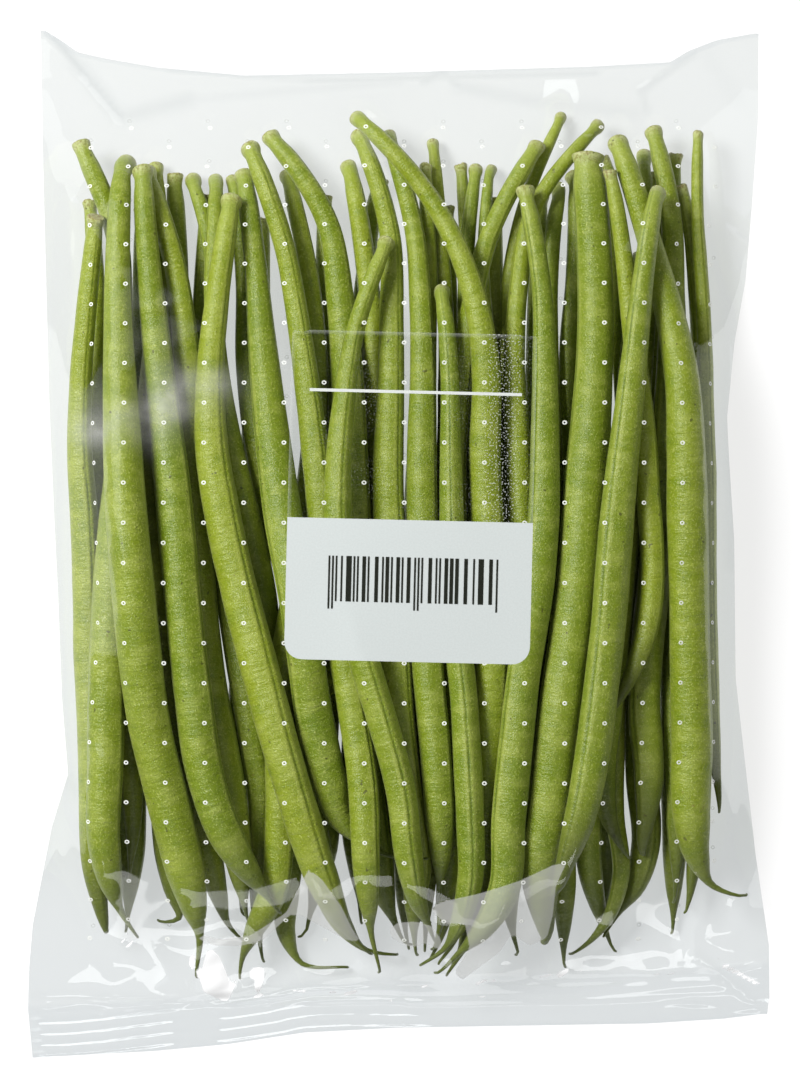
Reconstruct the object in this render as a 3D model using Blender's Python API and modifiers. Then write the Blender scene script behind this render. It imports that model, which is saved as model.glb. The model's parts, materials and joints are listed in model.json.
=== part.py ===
"""Green beans side by side in a flat pouch of clear film, which lies on its back with a label on the front.

Lengths in this file are millimetres until a mesh is made, which takes metres. X runs to the right, Y to the
stem end of the beans and Z up out of the front of the pouch. The origin is under the middle of the pouch.
"""
import math
import random

import bmesh
import bpy
import numpy as np

OBJECT_NAME = "green_bean_bundle"
METRES = 0.001
GAP = 0.3

# the pouch
FILM_THICKNESS = 0.4
FILM_SLACK = 0.3
FILM_HALF_WIDTH = 69.0
SEAL_HEIGHT = 5.0
SEAL_GAP = 1.4
SIDE_HEIGHT = 11.0
SIDE_FULLNESS = 0.6
PRESSED_FLAT = 1.2
BOTTOM_SEAL_Y = -86.5
TOP_SEAL_Y = 88.0
FRONT_CELLS = 28
FRONT_CROWDING = 0.15
BACK_CELLS = 14
BACK_CROWDING = 0.68
LENGTH_CELLS = 33
VENT_EVERY = 6
VENT_SIZE = 1.8
LEFT_EDGE = [(-97, -69.5), (-87.5, -70.4), (-79, -70), (-71.5, -69.3), (-62.5, -67.5), (-53, -65.6),
             (-43, -62.5), (-29, -63.6), (-10, -64.3), (6.5, -65.1), (27, -66), (51, -66.7), (77, -67.5),
             (97, -68)]
RIGHT_EDGE = [(-97, 68), (-85.5, 69.5), (-75.5, 69.3), (-58.5, 66.7), (-40, 64.5), (-25, 62.8), (1, 62.5),
              (17, 61.5), (24, 61.2), (38, 62.6), (49.5, 64.7), (64, 66), (81, 67.3), (97, 67.5)]
BOTTOM_EDGE = [(-70, -96.8), (-46, -95.5), (-32, -94.2), (-17.5, -92), (0, -91.1), (47, -90.3),
               (61, -89.4), (68, -88.5)]
TOP_EDGE = [(-68, 97), (-64.5, 94.8), (-62, 93), (-56, 91.7), (-46.5, 90.1), (-30, 88.6), (0, 89.2),
            (37, 90.3), (52, 91.1), (55.5, 93.2), (61, 95.3), (68, 96.5)]

# how the film is drawn over the pile: a fine raster seen from above, then the facets
RASTER = 1.0
RASTER_HALF_WIDTH = 74.0
RASTER_HALF_LENGTH = 99.0
NO_PILE = 1000.0
TIGHTEN_TURNS = 2500
FACET_STEPS = 8
LIFT_TURNS = 40

# the label
LABEL_WIDTH = 45.4
LABEL_HEIGHT = 61.0
LABEL_CENTRE = (1.5, 8.9)
LABEL_TURN = math.radians(-1.4)
LABEL_CORNER = 3.3
LABEL_THICKNESS = 0.3
LABEL_LIFT = 0.6
LABEL_CELL = 5.0

# the beans
BEAN_SIDES = 6
BEAN_RINGS = 15
END_RINGS = 5
BUTTON_LENGTH = 0.4
NECK_AT = 2.2
NECK_PINCH = 0.84
SHOULDER_AT = 6.0
FULL_WIDTH_AT = 0.5
BEAK_LENGTH = 14.0
BEAK_TAPER = [(0.0, 0.93), (0.58, 0.64)]
BLUNT_TIP = [(2.0, 0.42), (0.4, 0.24)]
TAIL_RADIUS = 0.55
TIP_RADIUS = 0.33

# the row of beans at the back of the pile, which the others cover
HIDDEN_BEANS = 10
HIDDEN_HALF_SPAN = 50.0
HIDDEN_ENDS = (66.0, -68.0)
HIDDEN_WIDTHS = (5.2, 6.6)
HIDDEN_STEM_SHARE = 0.55
HIDDEN_TAILS = [1, 3, 4]
HIDDEN_SEED = 7

# how the pile is packed: START_HEIGHTS is (number in the pile, height)
START_HEIGHTS = [(0, 3.5), (9, 3.6), (10, 6), (30, 11), (31, 12), (41, 15), (55, 20)]
PACK_TURNS = 700
PACK_FALLING = 0.6
PACK_SPREADING = 0.9
PACK_GAP = 0.45
PACK_STEP = 3.0
PACK_REACH = 2.0
PACK_PUSH = 1.3
PACK_FALL = 0.04
PACK_HOLD = 0.03
PACK_STIFF = (0.2, 0.02, 0.0)
SIDE_ROOM = 1.8
CORNER_ROOM = 2.5

# Each bean from the bottom of the pile to the top: its widest width, its width at the stem as a share of
# that, the length of its thin tail, and its route seen from above, from stem to tip.
BEANS = [
    # middle of the pile
    (6.3, 0.55, 7, [(-42.5, 70.5), (-41, 57.5), (-40.5, 30.5), (-42.5, 8.5), (-47, -30.5),
        (-48, -43.5), (-44, -64.5), (-43, -73.5), (-46, -71)]),
    (5.6, 0.55, 4, [(-46.5, 72), (-45.5, 64), (-47, 23), (-46.5, 4.5), (-45, -14),
        (-37.5, -49.5), (-34, -59.5), (-31.5, -72.5), (-29.5, -75)]),
    (5.2, 0.55, 4, [(-40, 69.5), (-36.5, 56.5), (-36.5, 38), (-34.5, 6.5), (-27.5, -27),
        (-25, -49.5), (-26, -66), (-26.5, -73.5), (-26, -79)]),
    (5.6, 0.55, 9, [(-35, 69), (-36, 56.5), (-35.5, 30.5), (-27.5, -10), (-23.5, -29),
        (-18.5, -56.5), (-21.5, -70.5), (-19.5, -78.5), (-10, -80)]),
    (5.6, 0.55, 7, [(-32, 69.5), (-30.5, 51), (-30.5, 23), (-26, -1), (-21.5, -27),
        (-17.5, -55), (-11, -72.5), (-6, -77), (-0.5, -77.5)]),
    (6.3, 0.55, 4, [(-10, 72), (-8.5, 59.5), (-6.5, 42), (-4, 8.5),
        (-1.5, -23), (0, -36), (3.5, -60.5), (4.5, -71.5)]),
    (4.1, 0.6, 4, [(6, 76.5), (7, 64), (8, 45.5), (8, 8.5),
        (7.5, -10), (5.5, -47.5), (5, -66), (4.5, -77)]),
    (4.5, 0.6, 4, [(5, 72), (6, 53), (6, 34.5), (6, -3), (5, -21.5),
        (3, -40), (1.5, -58.5), (0.5, -70), (1.5, -76.5)]),
    (4.5, 0.6, 4, [(9, 64.5), (10, 42), (10.5, 23), (11.5, 4.5), (13, -32.5),
        (13.5, -51), (12.5, -66), (10, -75.5), (7, -79.5)]),
    (4.1, 0.6, 4, [(12, 72.5), (13.5, 49.5), (14.5, 30.5), (14, 12), (11.5, -25),
        (10, -43.5), (9, -60.5), (8, -73.5), (5.5, -78.5)]),
    (4.3, 0.6, 3, [(14.5, 71.5), (12.5, 57.5), (12, 34.5), (13, 16),
        (15.5, -21.5), (16, -40), (16, -56.5), (14, -75)]),
    (3.7, 0.6, 3, [(16.5, 71.5), (15.5, 58), (17.5, 27), (18.5, 8.5),
        (18.5, -10), (17.5, -47.5), (16, -62.5), (14.5, -71.5)]),
    (5.2, 0.55, 1, [(-59, 65.5), (-58, 56.5), (-57.5, 23), (-57.5, 4.5),
        (-57, -14), (-55.5, -32.5), (-54, -47.5), (-52, -62.5)]),
    (4.5, 0.5, 3, [(-54.5, 53), (-53.5, 40), (-52.5, 17.5), (-51, -6.5),
        (-50.5, -25), (-51, -36), (-50.5, -52), (-51.5, -63.5)]),
    (4.1, 0.55, 1, [(30.5, 81.5), (24, 68), (18.5, 45.5), (18.5, 27),
        (20, -10), (21.5, -29), (22.5, -47.5), (22.5, -62.5)]),
    (5.0, 0.6, 3, [(30.5, 68), (29, 56), (29, 36), (30.5, 4.5),
        (32.5, -32.5), (32.5, -47.5), (32, -65), (31, -80)]),
    (5.2, 0.6, 3, [(32.5, 70.5), (32, 51), (31, 38), (33.5, -3),
        (35, -25), (35, -43.5), (37, -63), (40.5, -77)]),
    (6.3, 0.5, 5, [(38, 73.5), (39.5, 64), (41, 36), (42.5, 17.5), (44.5, -21.5),
        (43.5, -47.5), (45, -60.5), (40.5, -68), (37, -73.5)]),
    (3.7, 0.6, 4, [(44.5, 55), (42.5, 8.5), (40.5, -29), (39.5, -47.5), (40, -67), (35, -75), (32, -77.5)]),
    (5.2, 0.55, 2, [(46, 74), (46.5, 64), (47, 49.5), (44.5, 6.5),
        (42, -14), (40, -29), (38.5, -50), (42, -59)]),
    (4.5, 0.6, 3, [(52, 74.5), (52.5, 64), (53, 27), (52, 4.5),
        (50.5, -17.5), (49.5, -36), (51, -55), (51.5, -67.5)]),
    # under the front ones
    (5.8, 0.55, 4, [(-21.5, 70.5), (-17.5, 53), (-15.5, 27), (-17.5, -4.5), (-19, -21.5),
        (-21, -47.5), (-24, -67), (-29.5, -77), (-30.5, -82)]),
    (6.5, 0.57, 3, [(-48, 70.5), (-43, 56), (-39, 30.5), (-38, 14),
        (-33, -16), (-30.5, -34.5), (-29, -55), (-28.5, -71)]),
    (5.6, 0.6, 4, [(26, 75.5), (18, 60.5), (12.5, 34.5), (10, 4.5), (9, -25),
        (8.5, -42), (7.5, -62.5), (7, -69), (6, -76.5)]),
    (5.0, 0.52, 4, [(37.5, 79.5), (26, 66), (21, 42), (21, 12), (20.5, -17.5),
        (18.5, -47.5), (18, -60.5), (19.5, -71.5), (22, -77.5)]),
    (5.9, 0.55, 4, [(-2.5, 77.5), (2, 63), (4, 43.5), (4, 8.5), (4.5, -6.5),
        (6, -32.5), (6.5, -47.5), (7, -62.5), (7, -68)]),
    (6.3, 0.55, 4, [(-8, 77.5), (-3, 63), (-2, 40), (-2, 16), (1, -25),
        (2.5, -38), (4.5, -58.5), (3, -71.5), (3, -77.5)]),
    (7.4, 0.5, 5, [(-25, 77.5), (-16, 66.5), (-10, 38), (-8.5, 12), (-7, -17.5),
        (-5, -43.5), (-1, -64), (0, -70.5), (1.5, -75.5)]),
    (6.5, 0.55, 1, [(47.5, 78.5), (50.5, 62.5), (50.5, 45.5), (49.5, 16),
        (47, -14), (46.5, -25), (47.5, -47), (45.5, -58)]),
    (4.5, 0.6, 2, [(52.5, 68), (54, 55), (56, 36), (57.5, 8.5),
        (56.5, -21.5), (56, -36), (55, -51), (53.5, -69.5)]),
    (3.3, 0.7, 2, [(56, 78), (56, 64), (57.5, 43.5), (58.5, 25),
        (58, -3), (58, -17.5), (58.5, -38), (60, -50.5)]),
    # front of the pile
    (5.8, 0.6, 0, [(-57, 62), (-58.5, 49.5), (-60.5, 19.5), (-59.5, 1),
        (-59, -29), (-58, -43.5), (-57, -64), (-55.5, -73)]),
    (6.9, 0.54, 6, [(-60.5, 76), (-53.5, 59.5), (-52.5, 34.5), (-51.5, 17.5), (-53.5, -14),
        (-55.5, -37), (-55, -63), (-52.5, -69.5), (-49.5, -74)]),
    (8.0, 0.5, 8, [(-51.5, 72), (-52.5, 53), (-52.5, 27), (-52, 4.5), (-47, -29),
        (-42, -47.5), (-38.5, -66), (-37.5, -73.5), (-38.5, -81.5)]),
    (7.2, 0.55, 4, [(-50, 70.5), (-48.5, 56.5), (-45.5, 34.5), (-41.5, 8.5), (-38, -25),
        (-36, -43.5), (-31, -56.5), (-24.5, -66), (-22.5, -69)]),
    (7.4, 0.5, 11, [(-29.5, 70), (-27.5, 55), (-25.5, 34.5), (-22.5, 10), (-19, -12),
        (-12.5, -41), (-8.5, -52), (-0.5, -58), (5, -58.5)]),
    (5.9, 0.6, 8, [(-28.5, 75), (-23.5, 61.5), (-18, 30.5), (-15.5, 4.5), (-11, -27),
        (-8.5, -51), (-7.5, -62.5), (-5.5, -75.5), (-4, -80.5)]),
    (7.4, 0.55, 5, [(-31.5, 65), (-34, 45.5), (-35, 23), (-32, 3), (-25, -23),
        (-18.5, -47.5), (-14, -62.5), (-8.5, -74), (-5.5, -77)]),
    (6.3, 0.5, 4, [(-8.5, 80.5), (3, 68), (14, 43), (15, 16), (16, -25),
        (15, -51), (14.5, -62.5), (11, -77), (8.5, -81)]),
    (6.1, 0.5, 4, [(-2.5, 57), (-7.5, 44.5), (-11.5, 23), (-12.5, -4.5), (-8.5, -21.5),
        (0.5, -49), (3, -62.5), (4.5, -67), (6.5, -74.5)]),
    (5.6, 0.55, 6, [(7, 48), (8.5, 39), (9, 19.5), (9, -14), (11, -34.5),
        (12.5, -51), (12.5, -67), (8, -76), (3.5, -79)]),
    (6.7, 0.5, 6, [(23, 67), (25.5, 55), (27, 25), (26, -3), (21, -29),
        (19, -47.5), (17, -67), (10.5, -76), (6.5, -80.5)]),
    (8.2, 0.75, 0, [(35, 73.5), (36, 56.5), (36, 38), (33, 6.5),
        (30.5, -14), (26, -43.5), (24, -62.5), (27, -74.5)]),
    (7.6, 0.55, 9, [(40.5, 76), (45, 60.5), (50, 39), (52, 8.5), (53, -14),
        (54, -40), (55.5, -59), (62.5, -67), (65, -65.5)]),
    (4.6, 0.6, 1, [(39, 70.5), (40.5, 61.5), (42.5, 43.5), (44.5, 21.5),
        (45.5, 10), (46.5, -9.5), (44, -21.5), (38.5, -32)]),
    (6.9, 0.51, 1, [(47.5, 66), (45.5, 50), (43.5, 29.5), (40.5, 7.5),
        (37, -19.5), (34, -35.5), (31, -49.5), (27.5, -65)]),
]


def smooth_line(points, stations):
    """Places on a smooth curve through points, at the given shares of its length."""
    pts = np.array(points, float)
    steps = np.linalg.norm(np.diff(pts, axis=0), axis=1)
    at = np.concatenate(([0.0], np.cumsum(steps)))
    slopes = np.gradient(pts, at, axis=0)
    fine = np.linspace(0.0, at[-1], 400)
    k = np.clip(np.searchsorted(at, fine, side="right") - 1, 0, len(pts) - 2)
    h = (at[k + 1] - at[k])[:, None]
    t = ((fine - at[k]) / h[:, 0])[:, None]
    curve = ((2 * t**3 - 3 * t**2 + 1) * pts[k] + (t**3 - 2 * t**2 + t) * h * slopes[k]
             + (3 * t**2 - 2 * t**3) * pts[k + 1] + (t**3 - t**2) * h * slopes[k + 1])
    run = np.concatenate(([0.0], np.cumsum(np.linalg.norm(np.diff(curve, axis=0), axis=1))))
    want = np.array(stations) * run[-1]
    return np.stack([np.interp(want, run, curve[:, a]) for a in range(2)], axis=1), run[-1]


def ease(t):
    t = min(max(t, 0.0), 1.0)
    return t * t * (3 - 2 * t)


class Bean:
    """The rings of one bean: where each is along it, its centre and its radius."""

    def __init__(self, width, stem_share, tail, route):
        radius = width / 2
        _, length = smooth_line(route, [0.0])
        neck = radius * stem_share
        body_end = length - tail - BEAK_LENGTH
        body = np.linspace(SHOULDER_AT, body_end, BEAN_RINGS - END_RINGS)[:-1]
        along = [BUTTON_LENGTH, NECK_AT, *body]
        radii = [neck, neck * NECK_PINCH]
        radii += [neck + (radius - neck) * ease(s / (FULL_WIDTH_AT * length)) for s in body]
        for share, taper in BEAK_TAPER:
            along.append(body_end + BEAK_LENGTH * share)
            radii.append(radius * taper)
        if tail < BLUNT_TIP[0][0]:
            for back, taper in BLUNT_TIP:
                along.append(length - back)
                radii.append(radius * taper)
        else:
            along += [length - tail, length - BUTTON_LENGTH]
            radii += [max(radius * 0.2, TAIL_RADIUS), TIP_RADIUS]
        self.along = np.array([0.0, *along, length])
        self.radii = np.array([radii[0] * 0.5, *radii, radii[-1] * 0.5])
        self.plan, _ = smooth_line(route, self.along / length)
        self.centre = None

    def samples(self, step):
        """Places along the bean: the ring before each and the share of the way to the next ring."""
        at = np.linspace(0.4, self.along[-1] - 0.2, int(self.along[-1] / step))
        ring = np.clip(np.searchsorted(self.along, at, side="right") - 1, 0, len(self.along) - 2)
        return ring, (at - self.along[ring]) / (self.along[ring + 1] - self.along[ring])

    def spheres(self, step=1.5):
        ring, share = self.samples(step)
        rows = np.column_stack([self.centre, self.radii])
        return rows[ring] * (1 - share)[:, None] + rows[ring + 1] * share[:, None]


def read_edge(edge, at):
    along, across = zip(*edge)
    return np.interp(at, along, across)


def hidden_beans():
    """The beans at the back of the pile, which the front ones cover: side by side with a small bow."""
    rng = random.Random(HIDDEN_SEED)
    rows = []
    for n in range(HIDDEN_BEANS):
        x = HIDDEN_HALF_SPAN * (2 * n / (HIDDEN_BEANS - 1) - 1)
        top = HIDDEN_ENDS[0] + rng.uniform(-5, 5)
        low = HIDDEN_ENDS[1] + rng.uniform(-7, 4)
        bow = rng.uniform(-3, 3)
        lean = rng.uniform(-2.5, 2.5)
        steps = [-1, -0.5, 0, 0.5, 1]
        route = [(x + lean * s + bow * (1 - s * s), top + (low - top) * (s + 1) / 2) for s in steps]
        rows.append((rng.uniform(*HIDDEN_WIDTHS), HIDDEN_STEM_SHARE, rng.choice(HIDDEN_TAILS), route))
    return rows


def pack(beans):
    """Lays the beans on each other: each keeps near its route and as low as its neighbours let it.

    Beans that are too close are pushed apart, a little at a time, until all have PACK_GAP between them.
    They start in the order of the list, from the bottom up, and so cross each other in that order. Each bean
    is a row of points, and a point keeps clear of the straight bars between another bean's rings.
    """
    count, rings = len(beans), len(beans[0].along)
    start_height = np.interp(np.arange(count), *zip(*START_HEIGHTS))
    home = np.array([np.column_stack([b.plan, np.zeros(rings)]) for b in beans]).reshape(-1, 3)
    place = home + np.column_stack([np.zeros((count * rings, 2)), np.repeat(start_height, rings)])
    radius = np.concatenate([b.radii for b in beans])
    floor = FILM_THICKNESS + GAP + radius
    rung = [b.samples(PACK_STEP) for b in beans]
    one = np.concatenate([ring + n * rings for n, (ring, _) in enumerate(rung)])
    share = np.concatenate([part for _, part in rung])
    owner = np.concatenate([np.full(len(part), n) for n, (_, part) in enumerate(rung)])
    bar = (np.arange(count)[:, None] * rings + np.arange(rings - 1)).ravel()
    bar_owner = np.repeat(np.arange(count), rings - 1)
    point_radius = radius[one] * (1 - share) + radius[one + 1] * share
    for turn in range(PACK_TURNS):
        falling = max(1 - turn / (PACK_FALLING * PACK_TURNS), 0.0)
        point = place[one] * (1 - share)[:, None] + place[one + 1] * share[:, None]
        if turn % 30 == 0:
            middle = (place[bar] + place[bar + 1]) / 2
            half = np.linalg.norm(place[bar + 1] - place[bar], axis=1) / 2
            within = half + point_radius[:, None] + np.maximum(radius[bar], radius[bar + 1]) + PACK_REACH
            near = np.linalg.norm(point[:, None] - middle, axis=2) < within
            p, s = np.nonzero(near & (owner[:, None] != bar_owner))
            s = bar[s]
        run = place[s + 1] - place[s]
        t = np.clip(((point[p] - place[s]) * run).sum(1) / np.maximum((run * run).sum(1), 1e-9), 0, 1)
        apart = point[p] - place[s] - run * t[:, None]
        distance = np.maximum(np.linalg.norm(apart, axis=1), 1e-6)
        short = point_radius[p] + radius[s] * (1 - t) + radius[s + 1] * t + PACK_GAP - distance
        hit = short > 0
        p_hit, s_hit, t_hit = p[hit], s[hit], t[hit]
        push = 0.5 * (short / distance)[hit, None] * apart[hit]
        moved, weight = np.zeros_like(place), np.zeros(len(place))
        for ring, part, sign in ((one[p_hit], 1 - share[p_hit], 1), (one[p_hit] + 1, share[p_hit], 1),
                                 (s_hit, 1 - t_hit, -1), (s_hit + 1, t_hit, -1)):
            weight += np.bincount(ring, part, len(place))
            for axis in range(3):
                moved[:, axis] += np.bincount(ring, sign * push[:, axis] * part, len(place))
        place += PACK_PUSH * moved / np.maximum(weight, 0.5)[:, None]
        if falling:
            place[:, 2] -= PACK_FALL * falling
            place[:, :2] += PACK_HOLD * (home[:, :2] - place[:, :2])
        stiff = PACK_STIFF[0 if falling else 1 if turn < PACK_SPREADING * PACK_TURNS else 2]
        bend = (place - home).reshape(count, rings, 3)
        level = bend.copy()
        level[:, 1:-1] = (bend[:, :-2] + bend[:, 2:]) / 2
        level[:, 0] = 2 * bend[:, 1] - bend[:, 2]
        level[:, -1] = 2 * bend[:, -2] - bend[:, -3]
        place = home + (bend * (1 - stiff) + level * stiff).reshape(-1, 3)
        place[:, 2] = np.maximum(place[:, 2], floor)
        room = radius + SIDE_ROOM + CORNER_ROOM * np.maximum(1 - place[:, 2] / SIDE_HEIGHT, 0.0)
        left = read_edge(LEFT_EDGE, place[:, 1]) + room
        right = read_edge(RIGHT_EDGE, place[:, 1]) - room
        place[:, 0] = np.clip(place[:, 0], left, right)
    for bean, centre in zip(beans, place.reshape(count, rings, 3)):
        bean.centre = centre


def side_height(y):
    """The crease down each side of the pouch: half way up the pile, and down at the seals."""
    span = np.clip((y - BOTTOM_SEAL_Y) / (TOP_SEAL_Y - BOTTOM_SEAL_Y), 0.0, 1.0)
    rise = np.maximum(np.sin(math.pi * span), 0.0) ** SIDE_FULLNESS
    return SEAL_HEIGHT + (SIDE_HEIGHT - SEAL_HEIGHT) * rise


def pile_reach(spheres, x, y):
    """How high and how low the pile, with room for the film round it, reaches at places seen from above."""
    top, low = np.full(x.shape, -NO_PILE), np.full(x.shape, NO_PILE)
    for centre_x, centre_y, centre_z, radius in spheres:
        room = radius + FILM_THICKNESS + GAP + FILM_SLACK
        square = room**2 - (x - centre_x) ** 2 - (y - centre_y) ** 2
        over = square > 0
        rise = np.sqrt(square[over])
        top[over] = np.maximum(top[over], centre_z + rise)
        low[over] = np.minimum(low[over], centre_z - rise)
    return top, low


def read_grid(grid, column, row):
    """The value of a grid at places between its points, given in columns and rows."""
    i = np.clip(np.floor(column).astype(int), 0, grid.shape[1] - 2)
    j = np.clip(np.floor(row).astype(int), 0, grid.shape[0] - 2)
    p, q = column - i, row - j
    near = grid[j, i] * (1 - p) + grid[j, i + 1] * p
    far = grid[j + 1, i] * (1 - p) + grid[j + 1, i + 1] * p
    return near * (1 - q) + far * q


def tighten(height, least, fixed):
    """Lets a sheet that is held at its edges sink until it is tight over what is under it."""
    height = np.where(fixed, height, np.maximum(height, least))
    for _ in range(TIGHTEN_TURNS):
        level = (height[:-2, 1:-1] + height[2:, 1:-1] + height[1:-1, :-2] + height[1:-1, 2:]) / 4
        free = np.maximum(level, least[1:-1, 1:-1])
        height[1:-1, 1:-1] = np.where(fixed[1:-1, 1:-1], height[1:-1, 1:-1], free)
    return height


def lift_facets(x, y, height, fixed, least_at, most=math.inf):
    """Lifts the free points of a grid until its facets, split either way, keep over what is under them."""
    step = np.linspace(0.0, 1.0, FACET_STEPS + 1)
    p, q = (share[:, :, None, None] for share in np.meshgrid(step, step))
    first, second = slice(None, -1), slice(1, None)
    corners = [((first, first), (1 - p) * (1 - q)), ((first, second), p * (1 - q)),
               ((second, first), (1 - p) * q), ((second, second), p * q)]
    under_x, under_y = (sum(grid[at] * weight for at, weight in corners) for grid in (x, y))
    least = least_at(under_x, under_y)
    for _ in range(LIFT_TURNS):
        a, b, c, d = (height[at] for at, _ in corners)
        one = np.where(p > q, a + (b - a) * p + (d - b) * q, a + (c - a) * q + (d - c) * p)
        other = np.where(p + q < 1, a + (b - a) * p + (c - a) * q, d + (c - d) * (1 - p) + (b - d) * (1 - q))
        short = np.maximum(least - np.minimum(one, other), 0.0)
        lift = np.zeros_like(height)
        for at, weight in corners:
            lift[at] = np.maximum(lift[at], (short * weight).max(axis=(0, 1)))
        height = np.where(fixed, height, np.minimum(height + lift, most))
    return height


def crowded(cells, crowding):
    """Shares of the way across the pouch, closer together at its sides."""
    share = np.linspace(0.0, 1.0, cells + 1)
    return share - crowding * np.sin(2 * math.pi * share) / (2 * math.pi)


class Film:
    """The outside of the pouch: a front and a back sheet, each drawn tight over the pile."""

    def __init__(self, spheres):
        across = np.arange(-RASTER_HALF_WIDTH, RASTER_HALF_WIDTH + RASTER, RASTER)
        along = np.arange(-RASTER_HALF_LENGTH, RASTER_HALF_LENGTH + RASTER, RASTER)
        x, y = np.meshgrid(across, along)
        side = side_height(y)
        held = (x <= read_edge(LEFT_EDGE, y)) | (x >= read_edge(RIGHT_EDGE, y))
        held |= (y <= BOTTOM_SEAL_Y) | (y >= TOP_SEAL_Y)
        top, low = pile_reach(spheres, x, y)
        front = tighten(side + SEAL_GAP / 2, top, held)
        back = -tighten(SEAL_GAP / 2 - side, -np.maximum(low, 0.0), held)

        def front_least(x, y):
            return pile_reach(spheres, x, y)[0]

        def back_least(x, y):
            return -np.maximum(pile_reach(spheres, x, y)[1], 0.0)

        self.front = self.sheet(crowded(FRONT_CELLS, FRONT_CROWDING), front, 1, front_least)
        self.back = self.sheet(crowded(BACK_CELLS, BACK_CROWDING), back, -1, back_least)

    @staticmethod
    def sheet(columns, raster, facing, least_at):
        """Places on one side of the pouch, as rows from the bottom seal to the top one."""
        u, v = np.meshgrid(columns, np.linspace(0.0, 1.0, LENGTH_CELLS + 1))
        x = FILM_HALF_WIDTH * (2 * u - 1)
        y = read_edge(BOTTOM_EDGE, x) * (1 - v) + read_edge(TOP_EDGE, x) * v
        left, right = read_edge(LEFT_EDGE, y), read_edge(RIGHT_EDGE, y)
        x = left + (right - left) * u
        height = read_grid(raster, (x + RASTER_HALF_WIDTH) / RASTER, (y + RASTER_HALF_LENGTH) / RASTER)
        fixed = (u <= 0) | (u >= 1) | (y <= BOTTOM_SEAL_Y) | (y >= TOP_SEAL_Y)
        height = np.where(fixed, side_height(y) + facing * SEAL_GAP / 2, height)
        if facing > 0:
            height = lift_facets(x, y, height, fixed, least_at)
        else:
            height = np.where(fixed, height, np.maximum(height - PRESSED_FLAT, 0.0))
            height = -lift_facets(x, y, -height, fixed, least_at, most=0.0)
        return np.stack([x, y, height], axis=-1)

    def top(self, x, y):
        """Height of the front sheet over places seen from above."""
        left, right = read_edge(LEFT_EDGE, y), read_edge(RIGHT_EDGE, y)
        u = (x - left) / (right - left)
        across = FILM_HALF_WIDTH * (2 * u - 1)
        low, high = read_edge(BOTTOM_EDGE, across), read_edge(TOP_EDGE, across)
        column = np.interp(u, crowded(FRONT_CELLS, FRONT_CROWDING), np.arange(FRONT_CELLS + 1))
        return read_grid(self.front[..., 2], column, (y - low) / (high - low) * LENGTH_CELLS)


def clear_scene():
    for thing in list(bpy.data.objects):
        bpy.data.objects.remove(thing, do_unlink=True)


def material(name, colour, roughness, alpha=1.0):
    made = bpy.data.materials.new(name)
    made.use_nodes = True
    shader = made.node_tree.nodes["Principled BSDF"]
    shader.inputs["Base Color"].default_value = (*colour, 1.0)
    shader.inputs["Roughness"].default_value = roughness
    shader.inputs["Metallic"].default_value = 0.0
    shader.inputs["Alpha"].default_value = alpha
    return made


def finish(mesh_data, name, look, collection):
    """Puts a bmesh, whose points are in millimetres, into the collection as a named object in metres."""
    bmesh.ops.scale(mesh_data, vec=(METRES,) * 3, verts=mesh_data.verts)
    bmesh.ops.recalc_face_normals(mesh_data, faces=mesh_data.faces)
    mesh = bpy.data.meshes.new(name)
    mesh_data.to_mesh(mesh)
    mesh_data.free()
    mesh.materials.append(look)
    mesh.shade_smooth()
    made = bpy.data.objects.new(name, mesh)
    collection.objects.link(made)
    return made


def make_bean(bean, name, look, collection):
    """A sphere drawn out along the bean: its poles are the two ends and its rings follow the route."""
    centre = bean.centre
    run = np.gradient(centre, bean.along, axis=0)
    shape = bmesh.new()
    bmesh.ops.create_uvsphere(shape, u_segments=BEAN_SIDES, v_segments=BEAN_RINGS + 1, radius=1.0)
    for vert in shape.verts:
        ring = round((BEAN_RINGS + 1) * math.acos(max(-1.0, min(1.0, vert.co.z))) / math.pi)
        forward = run[ring] / np.linalg.norm(run[ring])
        side = np.cross(forward, (0.0, 0.0, 1.0))
        side /= np.linalg.norm(side)
        up = np.cross(side, forward)
        if 0 < ring <= BEAN_RINGS:
            turn = math.atan2(vert.co.y, vert.co.x)
            spoke = (side * math.cos(turn) + up * math.sin(turn)) * bean.radii[ring]
        else:
            spoke = np.zeros(3)
        vert.co = centre[ring] + spoke
    return finish(shape, name, look, collection)


def make_film(film, look, collection):
    """One sheet rolled round the pile as a flat tube, pressed together in a seal at each end."""
    places = np.concatenate([film.front, film.back[:, ::-1]], axis=1)
    around = places.shape[1]
    sheet = bmesh.new()
    bmesh.ops.create_grid(sheet, x_segments=around, y_segments=LENGTH_CELLS, size=1.0)
    vents = []
    for face in sheet.faces:
        mid = face.calc_center_median()
        i, j = int((mid.x + 1) / 2 * around), int((mid.y + 1) / 2 * LENGTH_CELLS)
        staggered = i % VENT_EVERY == VENT_EVERY // 2 and (j + i // VENT_EVERY) % 2 == 0
        if i < FRONT_CELLS - 1 and staggered and 2 < j < LENGTH_CELLS - 3:
            vents.append(face)
    for vert in sheet.verts:
        i = round((vert.co.x + 1) / 2 * around) % around
        j = round((vert.co.y + 1) / 2 * LENGTH_CELLS)
        vert.co = places[j, i]
    bmesh.ops.remove_doubles(sheet, verts=sheet.verts, dist=0.001)
    for face in vents:
        edge = min(e.calc_length() for e in face.edges)
        bmesh.ops.inset_individual(sheet, faces=[face], thickness=(edge - VENT_SIZE) / 2)
    bmesh.ops.delete(sheet, geom=vents, context="FACES")
    pouch = finish(sheet, "bag_film", look, collection)
    shell = pouch.modifiers.new("thickness", "SOLIDIFY")
    shell.thickness = FILM_THICKNESS * METRES
    shell.offset = -1.0
    shell.use_even_offset = True
    return pouch


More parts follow.
